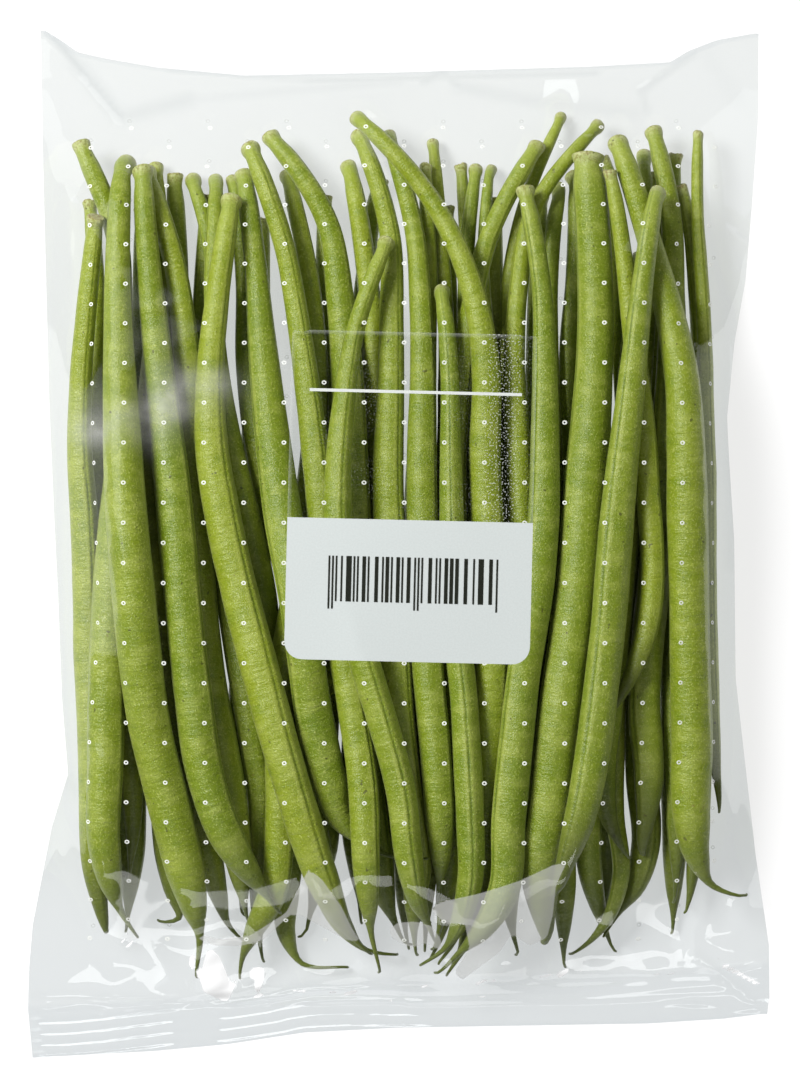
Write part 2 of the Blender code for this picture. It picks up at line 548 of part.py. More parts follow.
def label_place(across, along):
    """Where a place on the label, from its middle, is over the pouch."""
    cos, sin = math.cos(LABEL_TURN), math.sin(LABEL_TURN)
    return LABEL_CENTRE[0] + across * cos - along * sin, LABEL_CENTRE[1] + across * sin + along * cos


def make_label(film, look, collection):
    """A thin plate with rounded corners that lies on the front of the pouch."""
    across, along = round(LABEL_WIDTH / LABEL_CELL), round(LABEL_HEIGHT / LABEL_CELL)
    u, v = np.meshgrid(np.linspace(-0.5, 0.5, across + 1), np.linspace(-0.5, 0.5, along + 1))
    x, y = label_place(u * LABEL_WIDTH, v * LABEL_HEIGHT)
    start = film.top(x, y) + LABEL_LIFT
    height = lift_facets(x, y, start, np.zeros(x.shape, bool), lambda x, y: film.top(x, y) + LABEL_LIFT)
    plate = bmesh.new()
    bmesh.ops.create_grid(plate, x_segments=across, y_segments=along, size=0.5)
    bmesh.ops.scale(plate, vec=(LABEL_WIDTH, LABEL_HEIGHT, 1.0), verts=plate.verts)
    corners = [v for v in plate.verts if len(v.link_faces) == 1]
    bmesh.ops.bevel(plate, geom=corners, offset=LABEL_CORNER, segments=3, profile=0.5, affect="VERTICES")
    for vert in plate.verts:
        column = (vert.co.x / LABEL_WIDTH + 0.5) * across
        row = (vert.co.y / LABEL_HEIGHT + 0.5) * along
        x, y = label_place(vert.co.x, vert.co.y)
        vert.co = (x, y, read_grid(height, column, row))
    label = finish(plate, "label", look, collection)
    shell = label.modifiers.new("thickness", "SOLIDIFY")
    shell.thickness = LABEL_THICKNESS * METRES
    shell.offset = 1.0
    return label


def build():
    clear_scene()
    collection = bpy.data.collections.new(OBJECT_NAME)
    bpy.context.scene.collection.children.link(collection)
    beans = [Bean(*row) for row in hidden_beans() + BEANS]
    pack(beans)
    spheres = np.vstack([bean.spheres() for bean in beans])
    rng = random.Random(HIDDEN_SEED)
    for number, bean in enumerate(beans, start=1):
        name = f"bean_{number:02d}"
        ripe = rng.uniform(-1, 1)
        colour = (0.22 + 0.03 * ripe, 0.36 + 0.03 * ripe, 0.05)
        make_bean(bean, name, material(name + "_skin", colour, 0.5), collection)
    film = Film(spheres)
    make_film(film, material("clear_film", (0.92, 0.95, 0.97), 0.08, alpha=0.25), collection)
    make_label(film, material("label_white", (0.9, 0.92, 0.93), 0.3), collection)


build()
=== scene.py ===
"""Looks for the pouch of green beans.

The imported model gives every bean's line and width. This script reads them, and builds each bean again with
its rounded stem, seams, seeds and thin tail. Then it draws clear film tight over the pile, with its folds,
end seals and melted holes, and lays the label on the film. Lengths are millimetres until a mesh is made.
"""

import json
import math
import random

import bpy
import numpy as np
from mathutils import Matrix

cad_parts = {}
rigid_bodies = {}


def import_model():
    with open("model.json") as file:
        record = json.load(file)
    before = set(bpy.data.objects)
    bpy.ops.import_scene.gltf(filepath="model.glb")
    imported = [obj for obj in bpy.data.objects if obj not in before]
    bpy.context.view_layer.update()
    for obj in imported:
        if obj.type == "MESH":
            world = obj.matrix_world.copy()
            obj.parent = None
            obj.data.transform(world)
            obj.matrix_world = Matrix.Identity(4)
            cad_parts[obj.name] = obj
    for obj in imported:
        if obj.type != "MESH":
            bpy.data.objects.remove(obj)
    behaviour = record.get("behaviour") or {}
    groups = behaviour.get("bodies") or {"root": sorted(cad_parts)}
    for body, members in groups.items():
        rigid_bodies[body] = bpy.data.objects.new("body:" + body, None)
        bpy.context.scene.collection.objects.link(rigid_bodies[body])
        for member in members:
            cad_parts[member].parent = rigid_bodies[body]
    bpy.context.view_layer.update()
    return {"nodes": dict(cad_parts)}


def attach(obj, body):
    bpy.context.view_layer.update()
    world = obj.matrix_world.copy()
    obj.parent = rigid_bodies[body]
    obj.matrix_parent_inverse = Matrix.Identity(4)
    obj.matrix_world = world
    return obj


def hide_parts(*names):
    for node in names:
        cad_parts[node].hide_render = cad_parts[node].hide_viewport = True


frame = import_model()
MM = 0.001

# the photograph's size in pixels and its scale, and the camera that stands over the pouch's middle
PHOTO_SIZE = (800, 1090)
PIXELS_PER_MM = 5.38
CAMERA_HEIGHT = 1000.0
SCALE_HEIGHT = 20.0
CAMERA_SHIFT = -1 / PHOTO_SIZE[1]

# a bean as packed: rings of places between its two ends
PACKED_SIDES = 6
PACKED_RINGS = 15
ENDS_TRIED = 12

# a bean as shown
RING_STEP = 1.4
STEM_RINGS = [0.03, 0.14, 0.4, 0.8, 1.3, 1.9, 2.7]
TIP_RINGS = [0.9, 0.5, 0.25, 0.08]
STEM_ROUNDING = 0.45
STEM_CLOSING = 0.55
TIP_ROUNDING = 0.5
TIP_CLOSING = 0.9
STEM_FLARE = (1.08, 1.32)
STEM_TILT = 0.5
STEM_JAG = 0.22
JAG_DEPTH = (0.3, 1.0)
JAG_WAVES = (2, 3, 7)
CUT_REACH = 0.9
STEM_HOLLOW = 0.3
HOLLOW_DEPTH = (0.2, 1.0)
TAIL_THINNING = 0.22
TAIL_REACH = 9.0
SEAM_ANGLES = [0.0, 0.07, 0.15, 0.26, 0.42, 0.65, 0.95, 1.25]
FLANK_WIDTH = 0.965
OVAL = 0.03
RIDGE = 0.055
RIDGE_WIDTH = 0.26
GROOVE = 0.075
GROOVE_WIDTH = 0.085
BACK_RIDGE = 0.5
BACK_GROOVE = 0.15
HOLLOW = 0.025
HOLLOW_AT = 0.6
HOLLOW_WIDTH = 0.22
SEED_STEP = (9.0, 12.5)
SEED_STRENGTH = (0.15, 0.8)
SEED_HEIGHT = (0.06, 0.22)
SEED_LENGTH = 3.3
SEEDS_FROM_STEM = 16.0
SEEDS_FROM_TIP = 20.0
WAVE = 0.012
WAVE_LENGTHS = (6.0, 11.0, 19.0)
DENT = 0.010
DENT_LENGTHS = (5.1, 3.7, 8.3)
BEAN_SEED = 11

# where the skin's colour changes: the cut's depth, and lines along the seam in radians round the bean, where
# painted shade darkens the groove and a painted highlight lightens the ridges
CUT_DEPTH = 0.3
GROOVE_SHADE_LINE = 0.07
RIDGE_HIGHLIGHT_LINE = 0.1
RIDGE_HIGHLIGHT_AT = 0.22
BACK_LINES = 0.3
SKINS_APART = 200.0

# Where the seams show, by the beans' numbers: degrees to the right of the top, at the stem and at the tip
SEAMS = {
    32: (70, 60), 33: (60, 80), 34: (40, 62), 35: (-60, -75),
    36: (58, 70), 37: (30, 55), 38: (65, 50), 39: (-55, -40),
    40: (-40, -20), 41: (20, 35), 42: (22, 30), 43: (60, 75),
    44: (78, 70), 45: (66, 72), 46: (-70, -60), 47: (18, 60),
    48: (48, 24), 49: (72, 60), 50: (20, 14), 51: (-10, 8),
    52: (-35, -64), 53: (-80, -66), 54: (80, 74), 55: (70, 60),
    56: (-42, -34),
}
SEAM_SPREAD = (35, 85)
SEAM_DRIFT = (0.7, 1.2)

# the pouch: its outline seen from the front, and the heights of its seals and side creases
BOTTOM_SEAL_Y = -86.5
TOP_SEAL_Y = 88.0
SEAL_HEIGHT = 5.0
SIDE_HEIGHT = 11.0
SIDE_FULLNESS = 0.6
FILM_HALF_WIDTH = 69.0
FILM_CELL = 0.95
SEAL_CELL = 0.3
CLOSE_ROWS = (11.0, 4.5)
ENDS_PAST_SEALS = 13
FILM_MARGIN = 0.45
SHEET_GAP = 0.12
FLOOR_GAP = 0.25
RASTER = 0.5
RASTER_EDGE = (75, 101)
NO_PILE = 1000.0
TIGHTEN_START = 26.0
TIGHTEN_TURNS = 2600
LEFT_EDGE = [
    (-97, -69.5), (-87.5, -70.4), (-79, -70), (-71.5, -69.3), (-62.5, -67.5), (-53, -65.6), (-43, -62.5),
    (-29, -63.6), (-10, -64.3), (6.5, -65.1), (27, -66), (51, -66.7), (77, -67.5), (97, -68),
]
RIGHT_EDGE = [
    (-97, 68), (-85.5, 69.5), (-75.5, 69.3), (-58.5, 66.7), (-40, 64.5), (-25, 62.8), (1, 62.5), (17, 61.5),
    (24, 61.2), (38, 62.6), (49.5, 64.7), (64, 66), (81, 67.3), (97, 67.5),
]
BOTTOM_EDGE = [
    (-70, -96.8), (-46, -95.5), (-32, -94.2), (-17.5, -92), (0, -91.1), (47, -90.3), (61, -89.4),
    (68, -88.5),
]
TOP_EDGE = [
    (-68, 97), (-64.5, 94.8), (-62, 93), (-56, 91.7), (-46.5, 90.1), (-30, 88.6), (0, 89.2), (37, 90.3),
    (52, 91.1), (55.5, 93.2), (61, 95.3), (68, 96.5),
]

# the ribs pressed into the bottom seal, and how strong they are from left to right
RIB_STEP = 2.1
RIB_HEIGHT = 0.5
RIB_BAND = (0.8, 9.2)
RIBS = [
    (-70, 0.9), (-45, 1.0), (-41, 0.5), (-37, 0.2), (-34, 0.9), (-8, 0.75), (2, 0.85), (9, 0.35), (69, 0.3),
]

# Crumples: size, height, how far in from the bottom edge, and how strong they are from left to right
CRUMPLES = [
    (5.6, 2, (8.5, 10.5, 15, 24),
     [(-70, 0.7), (-40, 0.8), (-33, 1.3), (-22, 0.9), (0, 0.5), (25, 0.7), (45, 0.5), (60, 1.1), (69, 0.8)]),
    (2.7, 0.6, (7, 8.5, 11, 14), [(-70, 0.4), (-30, 1), (30, 1), (69, 0.6)]),
    (14, 0.6, (12, 20, 26, 40), [(-70, 0.5), (-30, 1), (30, 1), (69, 0.5)]),
    (27, 0.5, (26, 44, 160, 178), [(-70, 0.5), (-50, 1), (50, 1), (69, 0.5)]),
    (9, 0.7, (168, 174, 181, 185), [(-70, 0.7), (0, 1), (69, 1)]),
]

# folds down the sides: their width, length and height, and how far in they start to fade and end
SIDE_FOLDS = (3, 24, 0.4)
SIDE_FOLD_REACH = (3, 9)
SIDE_FOLD_START = (8, 14)

# Creases: from and to, width, height, how dark the painted shade along them is
CREASES = [
    ((-66.4, 96.8), (-52.6, 80.5), 1.3, 0.9, 0.9), ((-61, 90.5), (-53.4, 80.9), 2.6, -0.3, 0.5),
    ((-52.6, 80.5), (-40, 83.8), 2.4, 0.5, 0.5), ((-40, 83.8), (-0.2, 87.3), 1.4, 0.3, 0.25),
    ((-44, 89.6), (-18, 87.5), 0.9, 0.2, 0.3), ((-18, 87.5), (37, 89), 0.9, 0.2, 0.5),
    ((4.3, 87.5), (8, 89.2), 1.4, 0.4, 0.6), ((8, 89.2), (11, 86.2), 1.2, 0.4, 0.5),
    ((11, 86.2), (27, 83), 2, 0.5, 0.4), ((27, 83), (44, 81.2), 2.4, 0.3, 0.3),
    ((55.5, 92.5), (50, 89), 1.2, 0.7, 0.4), ((50, 89), (45.2, 85.4), 1.3, 0.8, 0.5),
    ((45.2, 85.4), (46.3, 81.5), 1.3, 0.6, 0.4), ((58, 92.5), (63, 84), 3, 0.7, 0.15),
    ((56, -77), (66.5, -86), 1.6, 1.2, 0.3), ((54, -86.5), (67.5, -87.5), 1.2, 0.5, 0.2),
    ((-69, -84.5), (-46, -85.5), 1.2, 0.5, 0.2), ((64.5, 36), (62, 20), 1.6, 0.9, 0.4),
    ((62, 20), (61.5, -4), 1.4, 0.9, 0.4), ((-64, -42), (-60, -47), 1.6, 0.9, 0.5),
    ((-64, -42), (-67.5, -60), 1.8, 0.7, 0.3),
]
FILM_SEED = 5
FACET_BEND = 0.35
FACET_TABLE = 64

# Folded patches with a painted grey reflection, through which the tips look grey, as outlines
PAINTED_VEILS = [
    [(-37.9, -72.9), (-33.3, -73.8), (-28.1, -73), (-21.4, -68.6), (-21, -69.3), (-25.8, -74),
     (-29.9, -75.1), (-34.6, -75.1), (-37.9, -73.8)],
    [(-21.6, -69), (-19.3, -64.1), (-17.1, -60.2), (-14.7, -62.1), (-11.2, -67.1), (-9.1, -71.6),
     (-7.4, -74.3), (-10.4, -73.8), (-14.1, -71.6), (-18.8, -69.1)],
    [(-2.2, -71.7), (-0.6, -70.4), (2.6, -70.1), (5.8, -71), (7.4, -73.4), (7.8, -75.8), (6.5, -75.3),
     (4.5, -74.3), (2, -75.3), (-0.2, -74.3), (-1.7, -73.4)],
    [(5.4, -67.8), (7.2, -66.4), (14.7, -64.7), (22.1, -62.3), (28.3, -59.3), (30.7, -58.9), (28.8, -63.2),
     (28.3, -69), (27.3, -73.4), (24, -74.9), (20.6, -72.5), (18.4, -76.2), (14.7, -79), (11.3, -81.8),
     (10, -79.9), (12.8, -75.3), (11.9, -70.6), (8, -70.4)],
]

# Painted soft glare, a white reflection painted on the film: its middle, how far it reaches across and up,
# and its strength
PAINTED_GLARE = [
    ((-55.6, 21.4), (5.2, 3.3), 0.34), ((-44.2, 26), (3.3, 6), 0.36), ((-36.1, 30.1), (5, 2.2), 0.32),
    ((-40.1, 27), (7.4, 4.6), 0.12), ((-50, 24), (6, 2.5), 0.12),
]

# Painted glints, small white highlights painted on folds of the lower film: as outlines, and as lines from
# and to with half their width
PAINTED_GLINT_OUTLINES = [
    [(-39.8, -75.9), (-39.8, -78.9), (-38.9, -80.3), (-37.6, -82.2), (-37.2, -84), (-35.2, -85.1),
     (-33.2, -86.2), (-32.5, -85.8), (-30.5, -81.4), (-32, -82.6), (-33.2, -79.2), (-34.1, -77),
     (-35.2, -75.8), (-36.3, -75.9), (-37.1, -78.5), (-38, -81.6), (-38.7, -77.4), (-39.4, -76.1)],
    [(-28.5, -80), (-28.3, -81.4), (-27.4, -81.8), (-27.6, -83.6), (-26.8, -84.3), (-28, -85.3),
     (-26.3, -85.4), (-25.9, -84.7), (-26.5, -83.6), (-25.7, -81.8), (-25.6, -79.4), (-27.2, -79.1),
     (-27.9, -79.4)],
]
PAINTED_GLINT_LINES = [
    ((-52.5, -74.5), (-51, -75.5), 0.25), ((-51.5, -72.5), (-49.8, -76), 0.2),
    ((-20.7, -83.9), (-18.2, -84), 0.15), ((-18.6, -84), (-18, -84), 0.3),
    ((-13.3, -84.2), (-12.3, -84.2), 0.2), ((-10.4, -84.6), (-8.3, -84), 0.32),
    ((-1.9, -85.9), (-1.7, -85.9), 0.25), ((3.9, -83.1), (4.9, -82.8), 0.22),
    ((14, -82.6), (16.1, -81.6), 0.25), ((14.7, -85.1), (16.2, -85.1), 0.15),
    ((17.1, -81.9), (17.7, -81.8), 0.25), ((26.2, -81.2), (28.6, -80.5), 0.15),
    ((29.6, -80.9), (30.9, -80), 0.5), ((32.3, -79.2), (34, -80), 0.12),
    ((47.5, -80.9), (48.8, -80.6), 0.15), ((50.3, -80.7), (51.8, -80.5), 0.15),
    ((58.3, -77), (68.2, -83), 0.12), ((60.5, -79.2), (66.8, -82.6), 0.3),
]

# the melted holes, and the film between the side creases that they lie on, with the steps it is measured in
HOLE_STEP = 7.42
HOLE_COLUMNS = range(-8, 9)
HOLE_ROWS = range(-10, 11)
HOLE_MIDDLE = (0.6, 0.4)
HOLE_RADIUS = 0.17
HOLE_RIM = 0.24
HOLE_OVAL = 1.12
HOLE_LIFT = (0.02, 0.07, 0.02)
HOLE_SIDES = 10
HOLES_REACH = 59
HOLE_LINE = (-60, 62, 245)

# the white of the film's dust and painted reflections, how much it may mirror, and how it bends light
DUST_AND_REFLECTION_WHITE = (0.57, 0.57, 0.55, 1)
GLOSS_MOST = 0.07
FILM_IOR = 1.48

# the label, and what is on it: places from its middle
LABEL_WIDTH = 45.4
LABEL_HEIGHT = 61.0
LABEL_CENTRE = (1.8, 8.9)
LABEL_TURN = math.radians(-1.4)
LABEL_CORNER = 3.3
LABEL_TOP_CORNER = 1.5
LABEL_LIFT = 0.3
LABEL_CELL = 0.8
LABEL_BRIDGE = 1.6
LABEL_RIM = 0.5
PRINT_LIFT = 0.08
RULE_CELL = 0.4
STRIPE_CELL = 1.2
PANEL_TOP = -4.3
RULE_LINE = (-19.2, 20.1, 19.4, 0.56)
STRIPES = (-14.9, 16.6, -11.2, -19.6, -21.0)
STRIPE_STEP = 0.33
STRIPE_GUARD = 1.0
STRIPE_SEED = 4
BUBBLES_AT = 16.6
BUBBLES_REACH = 3.8

# The studio: each lamp's place, aim, size across and up, power in watts, and whether it shines or only lights
LAMPS = {
    "key": ((-580, 340, 780), (0, 0, 0), (380, 380), 14.5, False),
    "fill": ((450, -300, 900), (0, 0, 0), (700, 700), 1.2, False),
    "window": ((-620, 320, 760), (0, 0, 0), (720, 720), 1.7, True),
    "sheen": ((-580, 340, 780), (0, 0, 0), (300, 300), 6.5, True),
    "low": ((0, -950, 740), (0, -60, 10), (900, 190), 1.7, True),
}
FLOOR_HALF = 4000


def through(at, stations, values, level=False):
    """Values at the places at, on a smooth curve through the stations. level keeps it from overshooting."""
    stations, values = np.asarray(stations, float), np.asarray(values, float)
    steps = np.diff(stations)[:, None]
    rates = np.diff(values, axis=0) / steps
    if level:
        same = rates[:-1] * rates[1:] > 0
        inner = np.where(same, 2 * rates[:-1] * rates[1:] / np.where(same, rates[:-1] + rates[1:], 1.0), 0.0)
    else:
        inner = (rates[:-1] * steps[1:] + rates[1:] * steps[:-1]) / (steps[1:] + steps[:-1])
    slopes = np.concatenate([rates[:1], inner, rates[-1:]])
    k = np.clip(np.searchsorted(stations, at, side="right") - 1, 0, len(stations) - 2)
    gap = steps[k]
    t = (np.asarray(at) - stations[k])[:, None] / gap
    start = (1 + 2 * t) * (1 - t) ** 2 * values[k] + t * (1 - t) ** 2 * gap * slopes[k]
    return start + t * t * (3 - 2 * t) * values[k + 1] + t * t * (t - 1) * gap * slopes[k + 1]


def unit(vectors):
    """The same directions with a length of 1."""
    return vectors / np.linalg.norm(vectors, axis=-1, keepdims=True)


def add_object(name, data):
    """A new object in the scene, for a mesh, a lamp or a camera."""
    made = bpy.data.objects.new(name, data)
    bpy.context.scene.collection.objects.link(made)
    return made


def make_piece(name, places, faces, replaced, material):
    """A smooth mesh object made from places in millimetres, riding on the body."""
    mesh = bpy.data.meshes.new(name)
    mesh.from_pydata((np.asarray(places) * MM).tolist(), [], faces)
    mesh.polygons.foreach_set("use_smooth", [True] * len(mesh.polygons))
    piece = add_object(name, mesh)
    mesh.materials.append(material)
    mesh.update()
    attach(piece, "root")
    if replaced:
        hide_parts(*replaced)
    return piece


def keep_values(piece, name, values):
    """Stores a number or a vector for each vertex, which the materials read."""
    values = np.asarray(values, float)
    kind, field = ("FLOAT_VECTOR", "vector") if values.ndim == 2 else ("FLOAT", "value")
    piece.data.attributes.new(name, kind, "POINT").data.foreach_set(field, values.ravel())


class Look:
    """A material's node tree, with short ways to add the nodes that the looks use."""

    def __init__(self, name):
        self.material = bpy.data.materials.new(name)
        self.material.use_nodes = True
        self.tree = self.material.node_tree
        self.tree.nodes.clear()

    def add(self, kind, inputs, **settings):
        node = self.tree.nodes.new("ShaderNode" + kind)
        for key, value in settings.items():
            setattr(node, key, value)
        for key, value in inputs.items():
            if isinstance(value, bpy.types.NodeSocket):
                self.tree.links.new(value, node.inputs[key])
            else:
                node.inputs[key].default_value = value
        return node

    def value(self, name):
        return self.add("Attribute", {}, attribute_name=name).outputs["Fac"]

    def place(self, name, stretch=(1.0, 1.0, 1.0)):
        kept = self.add("Attribute", {}, attribute_name=name).outputs["Vector"]
        return self.add("Mapping", {"Vector": kept, "Scale": stretch}).outputs["Vector"]

    def axes(self, place):
        node = self.add("SeparateXYZ", {"Vector": place})
        return [node.outputs[letter] for letter in "XYZ"]

    def noise(self, place, scale, detail=2.0, roughness=0.5):
        inputs = {"Vector": place, "Scale": scale, "Detail": detail, "Roughness": roughness}
        return self.add("TexNoise", inputs).outputs["Fac"]

    def sum(self, operation, first, second):
        return self.add("Math", {0: first, 1: second}, operation=operation).outputs[0]

    def times(self, first, second):
        return self.sum("MULTIPLY", first, second)

    def ease(self, value, start, end, low=0.0, high=1.0):
        inputs = {"Value": value, "From Min": start, "From Max": end, "To Min": low, "To Max": high}
        return self.add("MapRange", inputs, interpolation_type="SMOOTHSTEP").outputs["Result"]

    def blend(self, share, first, second):
        inputs = {0: share, 6: first, 7: second}
        return self.add("Mix", inputs, data_type="RGBA").outputs[2]

    def finish(self, kind, inputs):
        """Adds the last shader, and gives the material."""
        self.add("OutputMaterial", {"Surface": self.add(kind, inputs).outputs[0]})
        return self.material


# Beans


def read_bean(node):
    """The middle and radius of each ring of a packed bean, from its stem end to its tip, in millimetres."""
    mesh = node.data
    places = np.empty(len(mesh.vertices) * 3)
    mesh.vertices.foreach_get("co", places)
    places, same = np.unique(np.round(places.reshape(-1, 3), 6), axis=0, return_inverse=True)
    same = same.reshape(-1)
    near = [set() for _ in places]
    for edge in mesh.edges:
        a, b = (int(same[v]) for v in edge.vertices)
        if a != b:
            near[a].add(b)
            near[b].add(a)
    wanted = [1] + [PACKED_SIDES] * PACKED_RINGS + [1]
    for end in np.argsort(-places[:, 1])[:ENDS_TRIED]:
        rings, seen = [[int(end)]], {int(end)}
        while rings[-1]:
            rings.append(sorted({w for v in rings[-1] for w in near[v]} - seen))
            seen.update(rings[-1])
        rings.pop()
        if [len(ring) for ring in rings] == wanted:
            middles = np.array([places[ring].mean(axis=0) for ring in rings]) / MM
            radii = [np.linalg.norm(places[ring] / MM - m, axis=1).mean() for ring, m in zip(rings, middles)]
            return middles, np.array(radii)
    raise ValueError(f"{node.name} isn't made of rings")


class Bean:
    """The line and width of one bean, at close steps from its stem to its tip."""

    def __init__(self, node):
        middles, radii = read_bean(node)
        self.name = node.name
        self.number = int(node.name[-2:])
        run = np.concatenate([[0.0], np.cumsum(np.linalg.norm(np.diff(middles, axis=0), axis=1))])
        kept = [0] + list(range(2, len(middles)))
        self.length = run[-1]
        body = np.arange(STEM_RINGS[-1] + RING_STEP, self.length - TIP_RINGS[0] - RING_STEP / 2, RING_STEP)
        self.at = np.concatenate([STEM_RINGS, body, self.length - np.array(TIP_RINGS)])
        self.middle = through(self.at, run[kept], middles[kept])
        self.ends = middles[0], middles[-1]
        flare = random.Random(BEAN_SEED * self.number).uniform(*STEM_FLARE)
        radii[0] = radii[1] = radii[2] * flare
        radii[-1] = radii[-2]
        self.radius = through(self.at, run, radii[:, None], level=True)[:, 0]
        self.radius *= 1 - TAIL_THINNING * np.exp(-((self.length - self.at) / TAIL_REACH) ** 2)
        self.rounded = self.radius * self.rounding()

    def rounding(self):
        """How the ends close: a nearly flat cut at the stem, and a rounded tip."""
        from_stem = np.clip(1 - self.at / STEM_ROUNDING, 0, 1)
        from_tip = np.clip(1 - (self.length - self.at) / TIP_ROUNDING, 0, 1)
        return np.sqrt(1 - STEM_CLOSING * from_stem ** 2) * np.sqrt(1 - TIP_CLOSING * from_tip ** 2)

    def frames(self):
        """At each ring, the directions along the bean, across it and out of its top."""
        along = unit(np.gradient(self.middle, self.at, axis=0))
        across = np.empty_like(along)
        across[0] = unit(np.cross((0, 0, 1), along[0]))
        for i in range(1, len(along)):
            across[i] = unit(across[i - 1] - along[i] * (across[i - 1] @ along[i]))
        return along, across, np.cross(along, across)


def seam_rays():
    """Angles round a bean from its seam, close together at the two seams."""
    half = SEAM_ANGLES + [math.pi / 2]
    side = [-a for a in reversed(half[1:])] + half
    return np.array(side[:-1] + [a + math.pi for a in side[:-1]])


def from_seam(rays):
    """How far each angle is from the nearer of the two seams."""
    return np.abs((rays + math.pi / 2) % math.pi - math.pi / 2)


def section(rays):
    """The bean's width round its section: oval, with two ridges and a groove at the front seam."""
    back = np.cos(rays) < 0
    away = from_seam(rays)
    ridge = RIDGE * np.where(back, BACK_RIDGE, 1.0) * np.exp(-(away / RIDGE_WIDTH) ** 2)
    groove = GROOVE * np.where(back, BACK_GROOVE, 1.0) * np.exp(-(away / GROOVE_WIDTH) ** 2)
    hollow = HOLLOW * np.exp(-((away - HOLLOW_AT) / HOLLOW_WIDTH) ** 2)
    return FLANK_WIDTH + OVAL * np.cos(2 * away) + ridge - groove - hollow


def seed_bumps(bean, rng):
    """How far the seeds push the flanks out along the bean."""
    height = np.zeros(len(bean.at))
    at = SEEDS_FROM_STEM + rng.uniform(0, SEED_STEP[0])
    strength = rng.uniform(*SEED_STRENGTH)
    while at < bean.length - SEEDS_FROM_TIP:
        bump = rng.uniform(*SEED_HEIGHT) * strength
        height += bump * np.exp(-((bean.at - at) / SEED_LENGTH) ** 2)
        at += rng.uniform(*SEED_STEP)
    return height


def cut_end(bean, rays, rng):
    """How far the places near the stem end are drawn in along the bean: a slanted, torn cut."""
    lean, phases = rng.uniform(0, 2 * math.pi), [rng.uniform(0, 2 * math.pi) for _ in JAG_WAVES]
    slant = rng.uniform(0, STEM_TILT) * (1 + np.cos(rays - lean)) / 2
    torn = sum(np.sin(n * rays + phase) for n, phase in zip(JAG_WAVES, phases)) / len(JAG_WAVES)
    depth = bean.radius[0] * slant + STEM_JAG * rng.uniform(*JAG_DEPTH) * (1 + torn)
    return depth[None, :] * np.exp(-bean.at / CUT_REACH)[:, None]


def make_bean(bean, skin):
    """One bean, ring by ring, closed at its stem and at its tip."""
    rng = random.Random(BEAN_SEED + bean.number)
    rays = seam_rays()
    shape = section(rays)
    along, across, out = bean.frames()
    spread = rng.uniform(*SEAM_SPREAD) * rng.choice([-1, 1])
    seam = SEAMS.get(bean.number, (spread, spread * rng.uniform(*SEAM_DRIFT)))
    start, end = (math.radians(a) for a in seam)
    turn = start + (end - start) * bean.at / bean.length
    wave = [rng.uniform(0, 2 * math.pi) for _ in range(6)]
    swell = sum(np.sin(bean.at / length + w) for length, w in zip(WAVE_LENGTHS, wave))
    wide = bean.rounded * (1 + WAVE * swell)
    full = np.clip(bean.radius / bean.radius.max(), 0, 1)[:, None]
    shape = 1 + (shape - 1)[None, :] * full ** 2
    down = bean.at[:, None]
    dents = np.sin(rays * 2 + down / DENT_LENGTHS[0] + wave[3]) * np.sin(down / DENT_LENGTHS[1] + wave[4])
    dents += 0.7 * np.sin(rays * 3 - down / DENT_LENGTHS[2] + wave[5])
    bumps = seed_bumps(bean, rng)[:, None] * (np.sin(rays) ** 2)[None, :] * full
    reach = wide[:, None] * (shape - DENT * full * (1 + dents)) + bumps
    angle = turn[:, None] + rays[None, :]
    rounds = np.cos(angle)[..., None] * out[:, None] + np.sin(angle)[..., None] * across[:, None]
    drawn_in = cut_end(bean, rays, rng)
    rings = bean.middle[:, None] + reach[..., None] * rounds + drawn_in[..., None] * along[:, None]
    count, sides = len(bean.at), len(rays)
    stem_middle = bean.ends[0] + along[0] * (drawn_in[0].mean() + STEM_HOLLOW * rng.uniform(*HOLLOW_DEPTH))
    places = np.concatenate([rings.reshape(-1, 3), [stem_middle, bean.ends[1]]])
    stem, tip = count * sides, count * sides + 1
    faces = []
    for j in range(sides):
        k = (j + 1) % sides
        faces += [(i * sides + j, i * sides + sides + j, i * sides + sides + k, i * sides + k)
                  for i in range(count - 1)]
        faces.append((stem, j, k))
        faces.append((tip, (count - 1) * sides + k, (count - 1) * sides + j))
    piece = make_piece(bean.name + "_skin", places, faces, [bean.name], skin)
    keep_skin_values(piece, bean, rays, reach, rng.random())


def keep_skin_values(piece, bean, rays, reach, tone):
    """What the skin reads: places as if the bean were straight, distances from its ends, and the seam."""
    count, sides = len(bean.at), len(rays)
    run = np.repeat(bean.at[:, None], sides, 1)
    straight = np.stack([reach * np.cos(rays), reach * np.sin(rays), run], -1)
    straight = np.concatenate([straight.reshape(-1, 3), [(0, 0, 0), (0, 0, bean.length)]])
    keep_values(piece, "grown", straight + (0, 0, SKINS_APART * bean.number))
    from_stem = np.concatenate([np.repeat(bean.at, sides), [0, bean.length]])
    cap = np.concatenate([np.repeat(np.exp(-(bean.at / CUT_DEPTH) ** 2), sides), [1, 0]])
    keep_values(piece, "ends", np.stack([from_stem, bean.length - from_stem, cap], -1))
    away, front = from_seam(rays), np.where(np.cos(rays) < 0, BACK_LINES, 1.0)
    # where painted shade darkens the seam's groove and a painted highlight lightens its ridges
    groove = front * np.exp(-(away / GROOVE_SHADE_LINE) ** 2)
    ridge = front * np.exp(-((away - RIDGE_HIGHLIGHT_AT) / RIDGE_HIGHLIGHT_LINE) ** 2)
    seam = np.stack([groove, ridge, np.full(len(rays), tone)], -1)
    keep_values(piece, "seam", np.concatenate([np.tile(seam, (count, 1)), seam[:2]]))


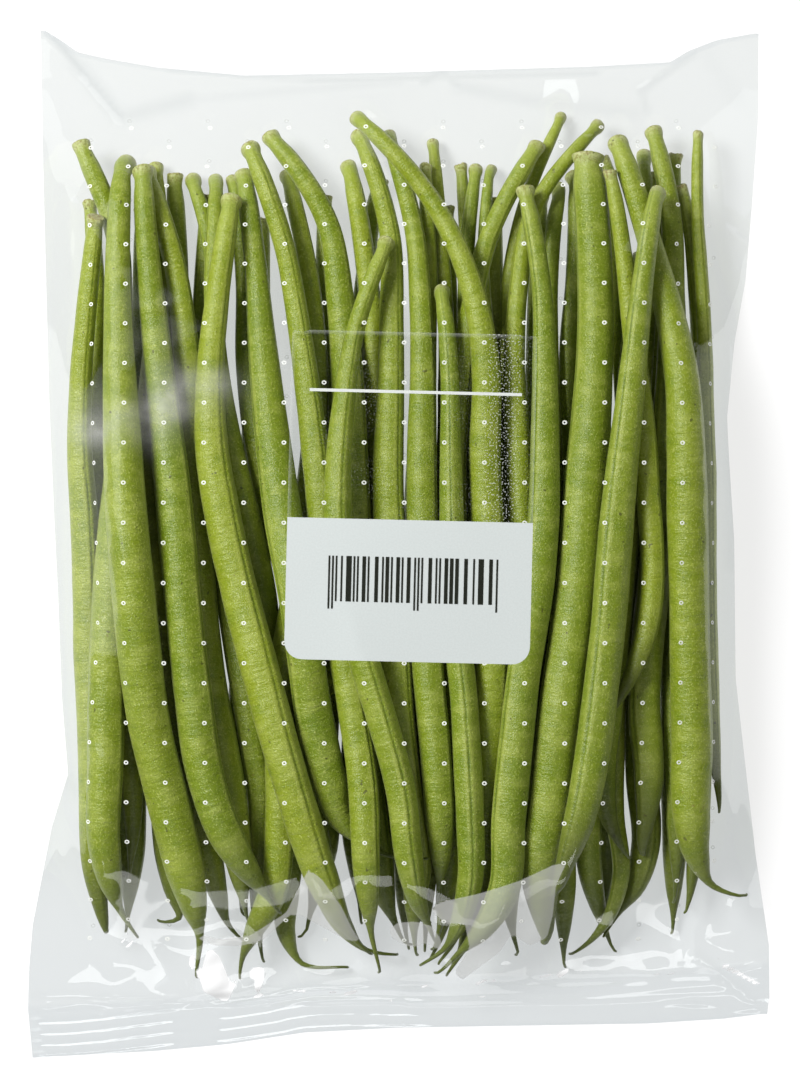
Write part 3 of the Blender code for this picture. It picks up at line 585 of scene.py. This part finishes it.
def bean_skin():
    """Green pod skin: blotched and fuzzy, with painted shade in the seam grooves and a painted highlight on
    their ridges, a torn pale stem and an olive tail.
    """
    look = Look("bean_skin")
    place = look.place("grown")
    from_stem, from_tip, cap = look.axes(look.place("ends"))
    groove, ridge, tone = look.axes(look.place("seam"))
    patches = look.noise(place, 0.06)
    smears = look.noise(look.place("grown", (0.55, 0.55, 1.0)), 0.34, 4.0, 0.55)
    clouds = look.noise(place, 1.1, 3.0, 0.6)
    grain = look.noise(look.place("grown", (1.0, 1.0, 0.8)), 3.3, 2.0, 0.65)
    wrinkles = look.noise(look.place("grown", (0.35, 0.35, 1.6)), 0.75, 3.0, 0.6)
    green = look.blend(look.ease(tone, 0.0, 1.0), (0.15, 0.215, 0.004, 1), (0.245, 0.3, 0.01, 1))
    blotches = [
        (patches, 0.38, 0.62, 0.5, (0.24, 0.3, 0.018, 1)),
        (smears, 0.46, 0.68, 0.36, (0.4, 0.45, 0.085, 1)),
        (smears, 0.48, 0.28, 0.45, (0.125, 0.195, 0.004, 1)),
        (clouds, 0.48, 0.75, 0.16, (0.4, 0.45, 0.095, 1)),
        (grain, 0.54, 0.72, 0.6, (0.5, 0.54, 0.15, 1)),
        (grain, 0.46, 0.3, 0.4, (0.11, 0.17, 0.003, 1)),
    ]
    for pattern, start, end, most, colour in blotches:
        green = look.blend(look.ease(pattern, start, end, 0.0, most), green, colour)
    uneven = look.ease(look.noise(look.place("grown", (0.2, 0.2, 1.0)), 0.16), 0.35, 0.65, 0.35, 1.1)
    ridge, groove = (look.times(line, uneven) for line in (ridge, groove))
    # painted highlight on the seam's ridges
    green = look.blend(look.times(ridge, 0.5), green, (0.4, 0.44, 0.1, 1))
    # painted shade in the seam's groove
    green = look.blend(look.times(groove, 0.75), green, (0.07, 0.115, 0.003, 1))
    green = look.blend(look.ease(from_stem, 12.0, 0.5, 0.0, 0.5), green, (0.34, 0.4, 0.07, 1))
    green = look.blend(look.ease(from_tip, 26.0, 3.0, 0.0, 0.85), green, (0.075, 0.095, 0.012, 1))
    rust = look.sum("ADD", look.ease(look.noise(place, 1.9, 3.0, 0.7), 0.47, 0.62),
                    look.ease(from_stem, 0.8, 0.1, 0.0, 0.45))
    cut = look.blend(rust, (0.52, 0.54, 0.25, 1), (0.24, 0.17, 0.06, 1))
    frayed = look.times(look.ease(from_stem, 3.2, 0.6), look.ease(clouds, 0.35, 0.6, 0.45, 1.0))
    green = look.blend(look.sum("MAXIMUM", cap, look.times(frayed, 0.85)), green, cut)
    scars = look.times(look.ease(look.noise(place, 0.9, 2.0, 0.7), 0.66, 0.74),
                     look.ease(patches, 0.5, 0.62))
    green = look.blend(look.times(scars, 0.55), green, (0.2, 0.15, 0.03, 1))
    specks = look.ease(look.noise(place, 0.8, 1.0), 0.75, 0.78, 0.0, 0.7)
    green = look.blend(specks, green, (0.06, 0.06, 0.01, 1))
    height = look.sum("ADD", look.times(grain, 0.7), look.times(wrinkles, 1.5))
    height = look.sum("ADD", height, look.times(clouds, 0.5))
    bump = look.add("Bump", {"Height": height, "Strength": 0.8, "Distance": 0.00022}).outputs["Normal"]
    return look.finish("BsdfPrincipled", {
        "Base Color": green, "Roughness": look.ease(clouds, 0.3, 0.7, 0.32, 0.46), "Normal": bump,
        "Specular IOR Level": 0.75, "Sheen Weight": 0.14, "Sheen Roughness": 0.45,
        "Sheen Tint": (1.0, 1.0, 0.7, 1)})


# Pouch


def read_edge(edge, at):
    """How far out an edge of the outline is, at places along it."""
    along, across = zip(*edge)
    return np.interp(at, along, across)


def side_height(y):
    """The crease down each side: half way up the pile, and down at the seals."""
    span = np.clip((y - BOTTOM_SEAL_Y) / (TOP_SEAL_Y - BOTTOM_SEAL_Y), 0, 1)
    return SEAL_HEIGHT + (SIDE_HEIGHT - SEAL_HEIGHT) * np.sin(math.pi * span) ** SIDE_FULLNESS


def pile_heights(beans):
    """The highest and lowest place of the pile over each cell of a fine square raster."""
    count = tuple(int(2 * edge / RASTER) for edge in RASTER_EDGE)
    top, bottom = np.full(count, -NO_PILE), np.full(count, NO_PILE)
    for bean in beans:
        for (x, y, z), r in zip(bean.middle, bean.radius + FILM_MARGIN):
            i, j = (np.arange(int((c - r + edge) / RASTER), int((c + r + edge) / RASTER) + 1)
                    for c, edge in zip((x, y), RASTER_EDGE))
            gx, gy = (i * RASTER - RASTER_EDGE[0] - x)[:, None], (j * RASTER - RASTER_EDGE[1] - y)[None, :]
            rise = np.sqrt(np.maximum(r * r - gx ** 2 - gy ** 2, 0))
            here = np.ix_(i, j)
            top[here] = np.where(rise > 0, np.maximum(top[here], z + rise), top[here])
            bottom[here] = np.where(rise > 0, np.minimum(bottom[here], z - rise), bottom[here])
    return top, bottom


def read_raster(raster, x, y):
    """The raster's value nearest to each place."""
    i, j = (np.clip(np.round((c + edge) / RASTER).astype(int), 0, size - 1)
            for c, edge, size in zip((x, y), RASTER_EDGE, raster.shape))
    return raster[i, j]


def tighten(height, least, fixed):
    """Film drawn tight: level between whatever it rests on and its fixed edges."""
    height = np.where(fixed, height, np.maximum(height, least))
    for _ in range(TIGHTEN_TURNS):
        level = (height[:-2, 1:-1] + height[2:, 1:-1] + height[1:-1, :-2] + height[1:-1, 2:]) / 4
        level = np.maximum(level, least[1:-1, 1:-1])
        height[1:-1, 1:-1] = np.where(fixed[1:-1, 1:-1], height[1:-1, 1:-1], level)
    return height


def ramp(value, low, high):
    """0 up to low and 1 from high, with a smooth rise between."""
    t = np.clip((value - low) / (high - low), 0.0, 1.0)
    return t * t * (3 - 2 * t)


def band(value, low, full, fade, end):
    """0 up to low, 1 from full to fade, and 0 again from end."""
    return ramp(value, low, full) * (1 - ramp(value, fade, end))


def facets(x, y, size, seed):
    """Heights from 0 to 1 of a creased sheet: triangles between random heights, about the given size."""
    table = np.random.default_rng(seed).random((FACET_TABLE, FACET_TABLE))
    u = x / size[0] + FACET_BEND * np.sin(y / size[1] * 0.9 + seed) + FACET_TABLE // 2
    v = y / size[1] + FACET_BEND * np.sin(x / size[0] * 1.1 + 2 * seed) + FACET_TABLE // 2
    i, j = np.floor(u).astype(int), np.floor(v).astype(int)
    p, q = u - i, v - j
    corners = ((0, 0), (1, 0), (0, 1), (1, 1))
    a, b, c, d = (table[(i + k) % FACET_TABLE, (j + m) % FACET_TABLE] for k, m in corners)
    one = np.where(p > q, a + (b - a) * p + (d - b) * q, a + (c - a) * q + (d - c) * p)
    other = np.where(p + q < 1, a + (b - a) * p + (c - a) * q, d + (c - d) * (1 - p) + (b - d) * (1 - q))
    return np.where(table[(i * 7 + j) % FACET_TABLE, (i + 5 * j) % FACET_TABLE] > 0.5, one, other)


def into_outline(x, y, outline):
    """How far inside an outline each place is, and less than 0 outside it."""
    inside, near = np.zeros(x.shape, bool), np.full(x.shape, NO_PILE)
    for (x0, y0), (x1, y1) in zip(outline, outline[1:] + outline[:1]):
        near = np.minimum(near, from_line(x, y, (x0, y0), (x1, y1)))
        if y0 != y1:
            inside ^= ((y0 > y) != (y1 > y)) & (x < x0 + (y - y0) * (x1 - x0) / (y1 - y0))
    return np.where(inside, near, -near)


def from_line(x, y, start, end):
    """How far each place is from a straight line between two others."""
    (x0, y0), (x1, y1) = start, end
    along = np.clip(((x - x0) * (x1 - x0) + (y - y0) * (y1 - y0)) / ((x1 - x0) ** 2 + (y1 - y0) ** 2), 0, 1)
    return np.hypot(x - x0 - along * (x1 - x0), y - y0 - along * (y1 - y0))


class Pouch:
    """The front and back film as heights over one grid, which runs across from crease to crease and up."""

    def __init__(self, beans):
        self.u = np.linspace(0, 1, int(2 * FILM_HALF_WIDTH / FILM_CELL) + 1)
        length = TOP_SEAL_Y - BOTTOM_SEAL_Y + ENDS_PAST_SEALS
        even = np.linspace(0, 1, int(length / FILM_CELL) + 1)
        x, y = self.plan(self.u, even)
        top, bottom = (read_raster(raster, x, y) for raster in pile_heights(beans))
        side = side_height(y)
        fixed = (y < BOTTOM_SEAL_Y) | (y > TOP_SEAL_Y)
        fixed[:, [0, -1]] = True
        fixed[[0, -1]] = True
        front = tighten(np.where(fixed, side, TIGHTEN_START), top, fixed)
        low = np.where(bottom >= NO_PILE, -NO_PILE, -np.maximum(bottom, FLOOR_GAP))
        back = np.maximum(-tighten(np.where(fixed, -side, -FLOOR_GAP), low, fixed), FLOOR_GAP)
        wide_from, wide_to = CLOSE_ROWS[0], length - CLOSE_ROWS[1]
        rows = [np.arange(0, wide_from, SEAL_CELL), np.arange(wide_from, wide_to, FILM_CELL),
                np.arange(wide_to, length, SEAL_CELL), [length]]
        self.v = np.concatenate(rows) / length
        self.x, self.y = self.plan(self.u, self.v)
        k = np.clip(np.searchsorted(even, self.v, side="right") - 1, 0, len(even) - 2)
        w = ((self.v - even[k]) / even[1])[:, None]
        self.front, self.back = (z[k] * (1 - w) + z[k + 1] * w for z in (front, back))
        self.add_folds()
        self.front[:, 1:-1] += SHEET_GAP / 2
        self.back[:, 1:-1] -= SHEET_GAP / 2

    @staticmethod
    def plan(u, v):
        """Where the film's places are seen from the front, from shares of the way across and up."""
        flat = FILM_HALF_WIDTH * (2 * u[None, :] - 1)
        y = read_edge(BOTTOM_EDGE, flat) * (1 - v[:, None]) + read_edge(TOP_EDGE, flat) * v[:, None]
        left, right = read_edge(LEFT_EDGE, y), read_edge(RIGHT_EDGE, y)
        return left + (right - left) * u[None, :], y

    def add_folds(self):
        """Ribs in the bottom seal, crumples, side folds and creases, and the film's tint: the seal's own,
        with painted shade towards the bottom, in the creases, at the edges and on the ribs.
        """
        x, y = self.x, self.y
        from_bottom, from_top = y - read_edge(BOTTOM_EDGE, x), read_edge(TOP_EDGE, x) - y
        from_side = np.minimum(x - self.x[:, :1], self.x[:, -1:] - x)
        strength = np.interp(x, *zip(*RIBS)) * ramp(from_side, 0, 2)
        strength *= band(from_bottom, 0, RIB_BAND[0], RIB_BAND[1] - 1, RIB_BAND[1])
        drift = 0.5 * np.sin(x / 17.0) + 0.25 * np.sin(x / 5.0 + 1.0)
        phase = ((from_bottom + drift) / RIB_STEP) % 1.0
        rib = strength * (1 - np.abs(2 * phase - 1))
        front, back = RIB_HEIGHT * rib, RIB_HEIGHT * rib
        for number, (size, height, reach, across) in enumerate(CRUMPLES):
            share = band(from_bottom, *reach) * np.interp(x, *zip(*across)) * ramp(from_side, 0, 4)
            front = front + height * share * facets(x, y, (size, size), FILM_SEED + number)
            back = back - 0.5 * height * share * facets(x, y, (size, size), FILM_SEED + number + 20)
        wide, long, height = SIDE_FOLDS
        share = band(from_side, 0, 2, *SIDE_FOLD_REACH) * ramp(from_bottom, *SIDE_FOLD_START)
        front = front + height * share * facets(x, y, (wide, long), FILM_SEED + 40)
        crease_shade = np.zeros_like(x)
        # painted shade along each crease
        for start, end, width, height, dark in CREASES:
            near = np.clip(1 - from_line(x, y, start, end) / width, 0, 1)
            front = front + height * near
            crease_shade = np.maximum(crease_shade, dark * near)
        self.front = self.front + front * ramp(from_side, 0, 0.5)
        self.back = np.maximum(self.back + back, FLOOR_GAP)
        # painted shade: the film greys towards the bottom
        down = (TOP_SEAL_Y - y) / (TOP_SEAL_Y - BOTTOM_SEAL_Y)
        # the seal band's own tint, with painted shade along the outline's edges and on the ribs
        sealed = 1 - ramp(from_bottom, RIB_BAND[1], RIB_BAND[1] + 1)
        edge = 1 - ramp(np.minimum(from_bottom, from_top), 0.2, 0.8)
        seal_tint_and_shade = np.clip(0.35 * sealed + 0.3 * edge + 0.25 * rib, 0, 1)
        self.shade = np.stack([np.clip(down, 0, 1), crease_shade, seal_tint_and_shade], -1)

    def painted_reflections(self):
        """For the painted reflections: how far inside a folded patch each place is, how strong the painted
        glare is, and how far inside a painted glint.
        """
        inside = np.max([into_outline(self.x, self.y, outline) for outline in PAINTED_VEILS], axis=0)
        painted_glare = sum(strength * np.exp(-((self.x - x) / wide) ** 2 - ((self.y - y) / tall) ** 2)
                    for (x, y), (wide, tall), strength in PAINTED_GLARE)
        painted_glints = [into_outline(self.x, self.y, outline) for outline in PAINTED_GLINT_OUTLINES]
        painted_glints += [half - from_line(self.x, self.y, start, end) for start, end, half in PAINTED_GLINT_LINES]
        return np.stack([np.clip(inside, -3, 3), painted_glare, np.clip(np.max(painted_glints, axis=0), -1, 1)], -1)

    def place(self, x, y):
        """The column and row of the grid at places seen from the front, with the shares between them."""
        left, right = read_edge(LEFT_EDGE, y), read_edge(RIGHT_EDGE, y)
        u = (x - left) / (right - left)
        flat = FILM_HALF_WIDTH * (2 * u - 1)
        v = (y - read_edge(BOTTOM_EDGE, flat)) / (read_edge(TOP_EDGE, flat) - read_edge(BOTTOM_EDGE, flat))
        i = np.clip(u, 0, 0.9999) * (len(self.u) - 1)
        j = np.interp(v, self.v, np.arange(len(self.v))).clip(0, len(self.v) - 1.001)
        return i.astype(int), j.astype(int), i % 1, j % 1

    def height(self, x, y, sheet="front"):
        """The film's height over places seen from the front."""
        i, j, a, b = self.place(np.asarray(x, float), np.asarray(y, float))
        z = getattr(self, sheet)
        low = z[j, i] * (1 - a) + z[j, i + 1] * a
        return low * (1 - b) + (z[j + 1, i] * (1 - a) + z[j + 1, i + 1] * a) * b

    def normal(self, x, y, sheet):
        """The direction straight out of the film over places seen from the front."""
        step = 0.8
        dx = (self.height(x + step, y, sheet) - self.height(x - step, y, sheet)) / (2 * step)
        dy = (self.height(x, y + step, sheet) - self.height(x, y - step, sheet)) / (2 * step)
        return unit(np.stack([-dx, -dy, np.ones_like(dx)], -1))


def let_light_through(piece):
    """Thin clear film hardly shades what is under it."""
    piece.visible_shadow = False
    piece.visible_diffuse = False
    return piece


def make_film(pouch, film):
    """Front and back sheets, which meet down the two side creases and along the ends."""
    rows, columns = pouch.x.shape
    front = np.stack([pouch.x, pouch.y, pouch.front], -1).reshape(-1, 3)
    back = np.stack([pouch.x, pouch.y, pouch.back], -1).reshape(-1, 3)
    faces = []
    for j in range(rows - 1):
        for a in range(j * columns, (j + 1) * columns - 1):
            b = a + len(front)
            faces.append((a, a + 1, a + columns + 1, a + columns))
            faces.append((b, b + columns, b + columns + 1, b + 1))
    sheets = np.concatenate([front, back])
    piece = let_light_through(make_piece("bag_film_sheet", sheets, faces, ["bag_film"], film))
    shade = pouch.shade.reshape(-1, 3)
    keep_values(piece, "shade", np.concatenate([shade, shade * (1, 0.3, 1)]))
    # the painted reflections, on the front sheet only
    whitening = pouch.painted_reflections().reshape(-1, 3)
    keep_values(piece, "whitening", np.concatenate([whitening, np.tile((-3.0, 0.0, -1.0), (len(whitening), 1))]))


def hole_places(pouch, sheet):
    """Where the holes lie, seen from the front: in staggered rows, a step apart along the film itself."""
    line = np.linspace(*HOLE_LINE)
    for column in HOLE_COLUMNS:
        for row in HOLE_ROWS:
            y = HOLE_MIDDLE[1] + (row + column % 2 / 2) * HOLE_STEP
            if sheet == "back":
                y += HOLE_STEP / 4
            rise = pouch.height(line, np.full(len(line), y), sheet)
            run = np.concatenate([[0], np.cumsum(np.hypot(np.diff(line), np.diff(rise)))])
            x = np.interp(np.interp(HOLE_MIDDLE[0], line, run) + column * HOLE_STEP, run, line)
            if abs(x) <= HOLES_REACH:
                yield x, y


def make_holes(pouch, sheet, side, rim):
    """The small melted rims of one sheet's holes. side is 1 if they stand up, and -1 if they stand down."""
    places, faces = [], []
    radii = HOLE_RADIUS, HOLE_RADIUS + HOLE_RIM * 0.5, HOLE_RADIUS + HOLE_RIM
    for x, y in hole_places(pouch, sheet):
        out = pouch.normal(np.array([x]), np.array([y]), sheet)[0] * side
        middle = np.array([x, y, float(pouch.height(x, y, sheet))])
        across = unit(np.cross(out, (0, 1, 0)))
        up = np.cross(out, across)
        first = len(places)
        for radius, lift in zip(radii, HOLE_LIFT):
            for a in np.arange(HOLE_SIDES) * 2 * math.pi / HOLE_SIDES:
                spoke = math.cos(a) * across * HOLE_OVAL + math.sin(a) * up
                places.append(middle + radius * spoke + out * lift)
        for ring in (first, first + HOLE_SIDES):
            for s in range(HOLE_SIDES):
                a, b = ring + s, ring + (s + 1) % HOLE_SIDES
                faces.append((a, b, b + HOLE_SIDES, a + HOLE_SIDES))
    let_light_through(make_piece("film_holes_" + sheet, places, faces, [], rim))


def see_through(look, tint, gloss, roughness, whitening, white=DUST_AND_REFLECTION_WHITE):
    """Thin clear film: it passes light straight through, and shines more where it is seen at a slant."""
    slant = look.sum("POWER", look.add("LayerWeight", {"Blend": 0.5}).outputs["Facing"], 3.0)
    seen = look.add("BsdfTransparent", {"Color": look.blend(slant, tint, (0.8, 0.82, 0.83, 1))}).outputs[0]
    shine = look.add("BsdfGlossy", {"Color": (1, 1, 1, 1), "Roughness": roughness}).outputs[0]
    fresnel = look.add("Fresnel", {"IOR": FILM_IOR}).outputs[0]
    share = look.sum("MINIMUM", look.times(fresnel, gloss), GLOSS_MOST)
    film = look.add("MixShader", {0: share, 1: seen, 2: shine}).outputs[0]
    # a white layer by the share given: painted reflections and dust on the pouch, bubbles and rim on the
    # label
    whitened = look.add("BsdfDiffuse", {"Color": white}).outputs[0]
    return look.finish("MixShader", {0: whitening, 1: film, 2: whitened})


def pouch_film():
    """The pouch's film: greyer to the bottom and in its creases with painted shade, with painted reflections
    in folded patches, painted glare, painted glints and a little dust.
    """
    look = Look("film")
    down, crease_shade, sealed = look.axes(look.place("shade"))
    folded, painted_glare, painted_glint_depth = look.axes(look.place("whitening"))
    # painted shade: greyer towards the bottom
    tint = look.blend(down, (0.918, 0.930, 0.926, 1), (0.872, 0.888, 0.892, 1))
    # painted shade in the creases
    tint = look.blend(crease_shade, tint, (0.80, 0.82, 0.82, 1))
    # the seal's own tint, with painted shade at the edges and on the ribs
    tint = look.blend(sealed, tint, (0.82, 0.84, 0.85, 1))
    place = look.add("TexCoord", {}).outputs["Object"]
    dust = look.ease(look.noise(place, 2300.0, 2.0, 0.7), 0.68, 0.8, 0.0, 0.05)
    # painted reflection over the folded patches
    painted_veil = look.ease(folded, -0.12, 0.16, 0.0, 0.42)
    # painted glints, nearly solid white inside their outlines
    painted_glint = look.ease(painted_glint_depth, -0.1, 0.12, 0.0, 0.92)
    uneven = look.ease(look.noise(place, 160.0, 3.0), 0.3, 0.7, 0.5, 1.2)
    # the painted glare joins the painted reflection, dust is added, and the painted glints lie over all
    share = look.sum("MAXIMUM", painted_veil, look.times(painted_glare, uneven))
    share = look.sum("MAXIMUM", look.sum("ADD", share, dust), painted_glint)
    # the painted glints are pure white, the rest has the white of dust and painted reflections
    white = look.blend(look.ease(painted_glint_depth, -0.12, -0.06), DUST_AND_REFLECTION_WHITE, (1, 1, 1, 1))
    return see_through(look, tint, 1.25, 0.045, share, white)


def label_film():
    """The label's clear upper part, with fine bubbles under it and a faint rim."""
    look = Look("label_clear")
    place = look.place("on_label")
    patches = look.ease(look.noise(place, 0.16), 0.4, 0.7, 0.02, 0.25)
    away = look.sum("ABSOLUTE", look.sum("SUBTRACT", look.axes(place)[0], BUBBLES_AT), 0.0)
    patches = look.sum("MAXIMUM", patches, look.ease(away, BUBBLES_REACH, BUBBLES_REACH * 0.7))
    speckle = look.times(look.ease(look.noise(place, 3.3, 0.0), 0.61, 0.7, 0.0, 0.3), patches)
    speckle = look.sum("ADD", speckle, look.times(look.value("rim"), 0.13))
    return see_through(look, (0.965, 0.97, 0.965, 1), 1.2, 0.12, speckle, (0.85, 0.88, 0.86, 1))


def hole_rim(name, least, most):
    """The whitish melted plastic round a hole, of which a share between least and most is solid."""
    look = Look(name)
    place = look.add("TexCoord", {}).outputs["Object"]
    spread = look.ease(look.noise(place, 900.0), 0.3, 0.7, least, most)
    white = look.add("BsdfPrincipled", {"Base Color": (0.76, 0.775, 0.73, 1), "Roughness": 0.35}).outputs[0]
    clear = look.add("BsdfTransparent", {"Color": (0.95, 0.95, 0.95, 1)}).outputs[0]
    return look.finish("MixShader", {0: spread, 1: clear, 2: white})


# Label


def label_paper():
    """The label's white lower panel."""
    look = Look("label_panel")
    place = look.place("on_label")
    fine = look.noise(place, 3.0, 3.0)
    white = look.blend(look.ease(fine, 0.3, 0.7), (0.50, 0.535, 0.525, 1), (0.53, 0.565, 0.555, 1))
    rough = look.ease(fine, 0.3, 0.7, 0.32, 0.42)
    return look.finish("BsdfPrincipled", {"Base Color": white, "Roughness": rough})


def printed(name, colour):
    """Ink of one colour, a little worn."""
    look = Look(name)
    place = look.place("on_label")
    worn = look.ease(look.noise(place, 4.0), 0.3, 0.7)
    ink = look.blend(worn, colour, tuple(min(c * 1.15 + 0.01, 1.0) for c in colour[:3]) + (1,))
    return look.finish("BsdfPrincipled", {"Base Color": ink, "Roughness": 0.45})


def rounded_box(low, high, cell, corner=(0, 0)):
    """A flat grid of cells between two corners, with its outer places drawn in to rounded corners."""
    nx, ny = (max(2, round((b - a) / cell)) for a, b in zip(low, high))
    x = np.linspace(low[0], high[0], nx + 1)[None, :].repeat(ny + 1, 0)
    y = np.linspace(low[1], high[1], ny + 1)[:, None].repeat(nx + 1, 1)
    for cx, sx in ((low[0] + corner[0], -1), (high[0] - corner[0], 1)):
        for cy, sy, r in ((low[1] + corner[0], -1, corner[0]), (high[1] - corner[1], 1, corner[1])):
            if r <= 0:
                continue
            dx, dy = (x - cx) * sx, (y - cy) * sy
            out = np.maximum(dx, dy)
            far = np.hypot(dx, dy)
            near = (dx > 0) & (dy > 0) & (far > 1e-9)
            pull = np.where(near, out / np.where(near, far, 1), 1)
            x, y = np.where(near, cx + sx * dx * pull, x), np.where(near, cy + sy * dy * pull, y)
    faces = [(j * (nx + 1) + i, j * (nx + 1) + i + 1, (j + 1) * (nx + 1) + i + 1, (j + 1) * (nx + 1) + i)
             for j in range(ny) for i in range(nx)]
    return np.stack([x.ravel(), y.ravel()], -1), faces


def lay_on_film(pouch, flat, lift):
    """Places of the label, given from its middle, turned and laid on the film, where it spans small dips."""
    c, s = math.cos(LABEL_TURN), math.sin(LABEL_TURN)
    x = LABEL_CENTRE[0] + flat[:, 0] * c - flat[:, 1] * s
    y = LABEL_CENTRE[1] + flat[:, 0] * s + flat[:, 1] * c
    ring = [(LABEL_BRIDGE * math.cos(a), LABEL_BRIDGE * math.sin(a)) for a in np.arange(8) * math.pi / 4]
    ring.insert(0, (0.0, 0.0))
    over = np.mean([pouch.height(x + dx, y + dy) for dx, dy in ring], axis=0)
    return np.stack([x, y, np.maximum(over, pouch.height(x, y)) + lift], -1)


def lay_piece(pouch, name, flat, faces, layer, material, replaced=()):
    """A flat sheet on the label, in one of its layers, which keeps its places on the label for its look."""
    laid = lay_on_film(pouch, flat, LABEL_LIFT + layer * PRINT_LIFT)
    piece = make_piece(name, laid, faces, replaced, material)
    keep_values(piece, "on_label", np.column_stack([flat, np.zeros(len(flat))]))
    return piece


def draw_bars():
    """A plain block of bars, their widths drawn at random, with longer ones at its ends and middle."""
    places, bars, first = [], [], 0
    left, right, top, bottom, lowest = STRIPES
    rng, at = random.Random(STRIPE_SEED), left
    while at < right - STRIPE_STEP:
        guard = min(at - left, right - at, abs(at - (left + right) / 2)) < STRIPE_GUARD
        wide, gap = (1, 1) if guard else (rng.choice((1, 1, 2, 3)), rng.choice((1, 1, 2, 2, 3)))
        end = at + wide * STRIPE_STEP
        flat, faces = rounded_box((at, lowest if guard else bottom), (end, top), STRIPE_CELL)
        places.append(flat)
        bars += [tuple(v + first for v in face) for face in faces]
        first += len(flat)
        at += (wide + gap) * STRIPE_STEP
    return np.concatenate(places), bars


def make_label(pouch, clear, panel, white, black):
    """The clear sheet, its white lower panel, a thin white line and the block of bars."""
    half_w, half_h = LABEL_WIDTH / 2, LABEL_HEIGHT / 2
    low, high = (-half_w, -half_h), (half_w, half_h)
    flat, faces = rounded_box(low, high, LABEL_CELL, (LABEL_CORNER, LABEL_TOP_CORNER))
    sheet = let_light_through(lay_piece(pouch, "label_sheet", flat, faces, 0, clear, ["label"]))
    inward = np.minimum(half_w - np.abs(flat[:, 0]), half_h - np.abs(flat[:, 1]))
    keep_values(sheet, "rim", np.clip(1 - inward / LABEL_RIM, 0, 1))
    flat, faces = rounded_box(low, (half_w, PANEL_TOP), LABEL_CELL, (LABEL_CORNER, 0))
    let_light_through(lay_piece(pouch, "label_panel", flat, faces, 1, panel))
    left, right, y, thick = RULE_LINE
    flat, faces = rounded_box((left, y - thick / 2), (right, y + thick / 2), RULE_CELL)
    let_light_through(lay_piece(pouch, "label_rule", flat, faces, 1, white))
    flat, faces = draw_bars()
    lay_piece(pouch, "label_bars", flat, faces, 2, black)


# Studio


def soft_light(name, place, aim, size, power, shines):
    """A large white lamp. Either it shines, which shows in glossy things alone, or it only lights."""
    lamp = bpy.data.lights.new(name, "AREA")
    lamp.shape = "RECTANGLE"
    lamp.size, lamp.size_y = size[0] * MM, size[1] * MM
    lamp.energy = power
    made = add_object(name, lamp)
    made.location = [c * MM for c in place]
    aim_at = made.location.__class__([c * MM for c in aim]) - made.location
    made.rotation_euler = aim_at.to_track_quat("-Z", "Y").to_euler()
    made.visible_glossy, made.visible_diffuse = shines, not shines
    return made


def light_only(lamp, pieces):
    """Keeps a lamp to some of the pieces, here so that the film over the beans doesn't mirror it."""
    lit = bpy.data.collections.new(lamp.name + "_lit")
    for piece in pieces:
        lit.objects.link(piece)
    lamp.light_linking.receiver_collection = lit


def make_floor():
    """A pale floor that glows a little, so that it comes out white."""
    mesh = bpy.data.meshes.new("studio_floor")
    half = FLOOR_HALF * MM
    corners = [(-half, -half, 0), (half, -half, 0), (half, half, 0), (-half, half, 0)]
    mesh.from_pydata(corners, [], [(0, 1, 2, 3)])
    floor = add_object("studio_floor", mesh)
    look = Look("floor")
    place = look.add("TexCoord", {}).outputs["Object"]
    pale = look.blend(look.noise(place, 3.0), (0.27, 0.27, 0.27, 1), (0.29, 0.29, 0.29, 1))
    mesh.materials.append(look.finish("BsdfPrincipled", {
        "Base Color": pale, "Roughness": 0.9, "Specular IOR Level": 0.1,
        "Emission Color": (1, 1, 1, 1), "Emission Strength": 0.74}))


def set_studio():
    """Soft light from all round and from the lamps."""
    scene = bpy.context.scene
    scene.view_settings.view_transform = "Standard"
    world = bpy.data.worlds.new("studio")
    scene.world = world
    world.use_nodes = True
    sky = world.node_tree.nodes["Background"]
    sky.inputs["Color"].default_value = (1, 1, 1, 1)
    sky.inputs["Strength"].default_value = 0.3
    world.cycles_visibility.glossy = False
    lamps = {name: soft_light(name, *setting) for name, setting in LAMPS.items()}
    light_only(lamps["sheen"], [piece for piece in scene.objects if piece.name.endswith("_skin")])


def set_camera():
    """A camera straight above, which frames the pouch as the photograph does."""
    data = bpy.data.cameras.new("camera")
    camera = add_object("camera", data)
    bpy.context.scene.camera = camera
    camera.location = (0, 0, CAMERA_HEIGHT * MM)
    data.sensor_fit = "VERTICAL"
    seen = PHOTO_SIZE[1] / PIXELS_PER_MM
    data.angle = 2 * math.atan(seen / 2 / (CAMERA_HEIGHT - SCALE_HEIGHT))
    data.shift_x = CAMERA_SHIFT


def build():
    """Makes the beans, the pouch over them, its label and the studio."""
    nodes = [frame["nodes"][name] for name in sorted(frame["nodes"]) if name.startswith("bean_")]
    beans = [Bean(node) for node in nodes]
    skin = bean_skin()
    for bean in beans:
        make_bean(bean, skin)
    pouch = Pouch(beans)
    make_film(pouch, pouch_film())
    melted, faint = hole_rim("melted_rim", 0.75, 0.95), hole_rim("faint_rim", 0.06, 0.18)
    make_holes(pouch, "front", 1, melted)
    make_holes(pouch, "back", -1, faint)
    make_label(pouch, label_film(), label_paper(), printed("white_ink", (0.52, 0.54, 0.52, 1)),
               printed("black_ink", (0.009, 0.011, 0.006, 1)))
    make_floor()
    set_studio()
    set_camera()


build()
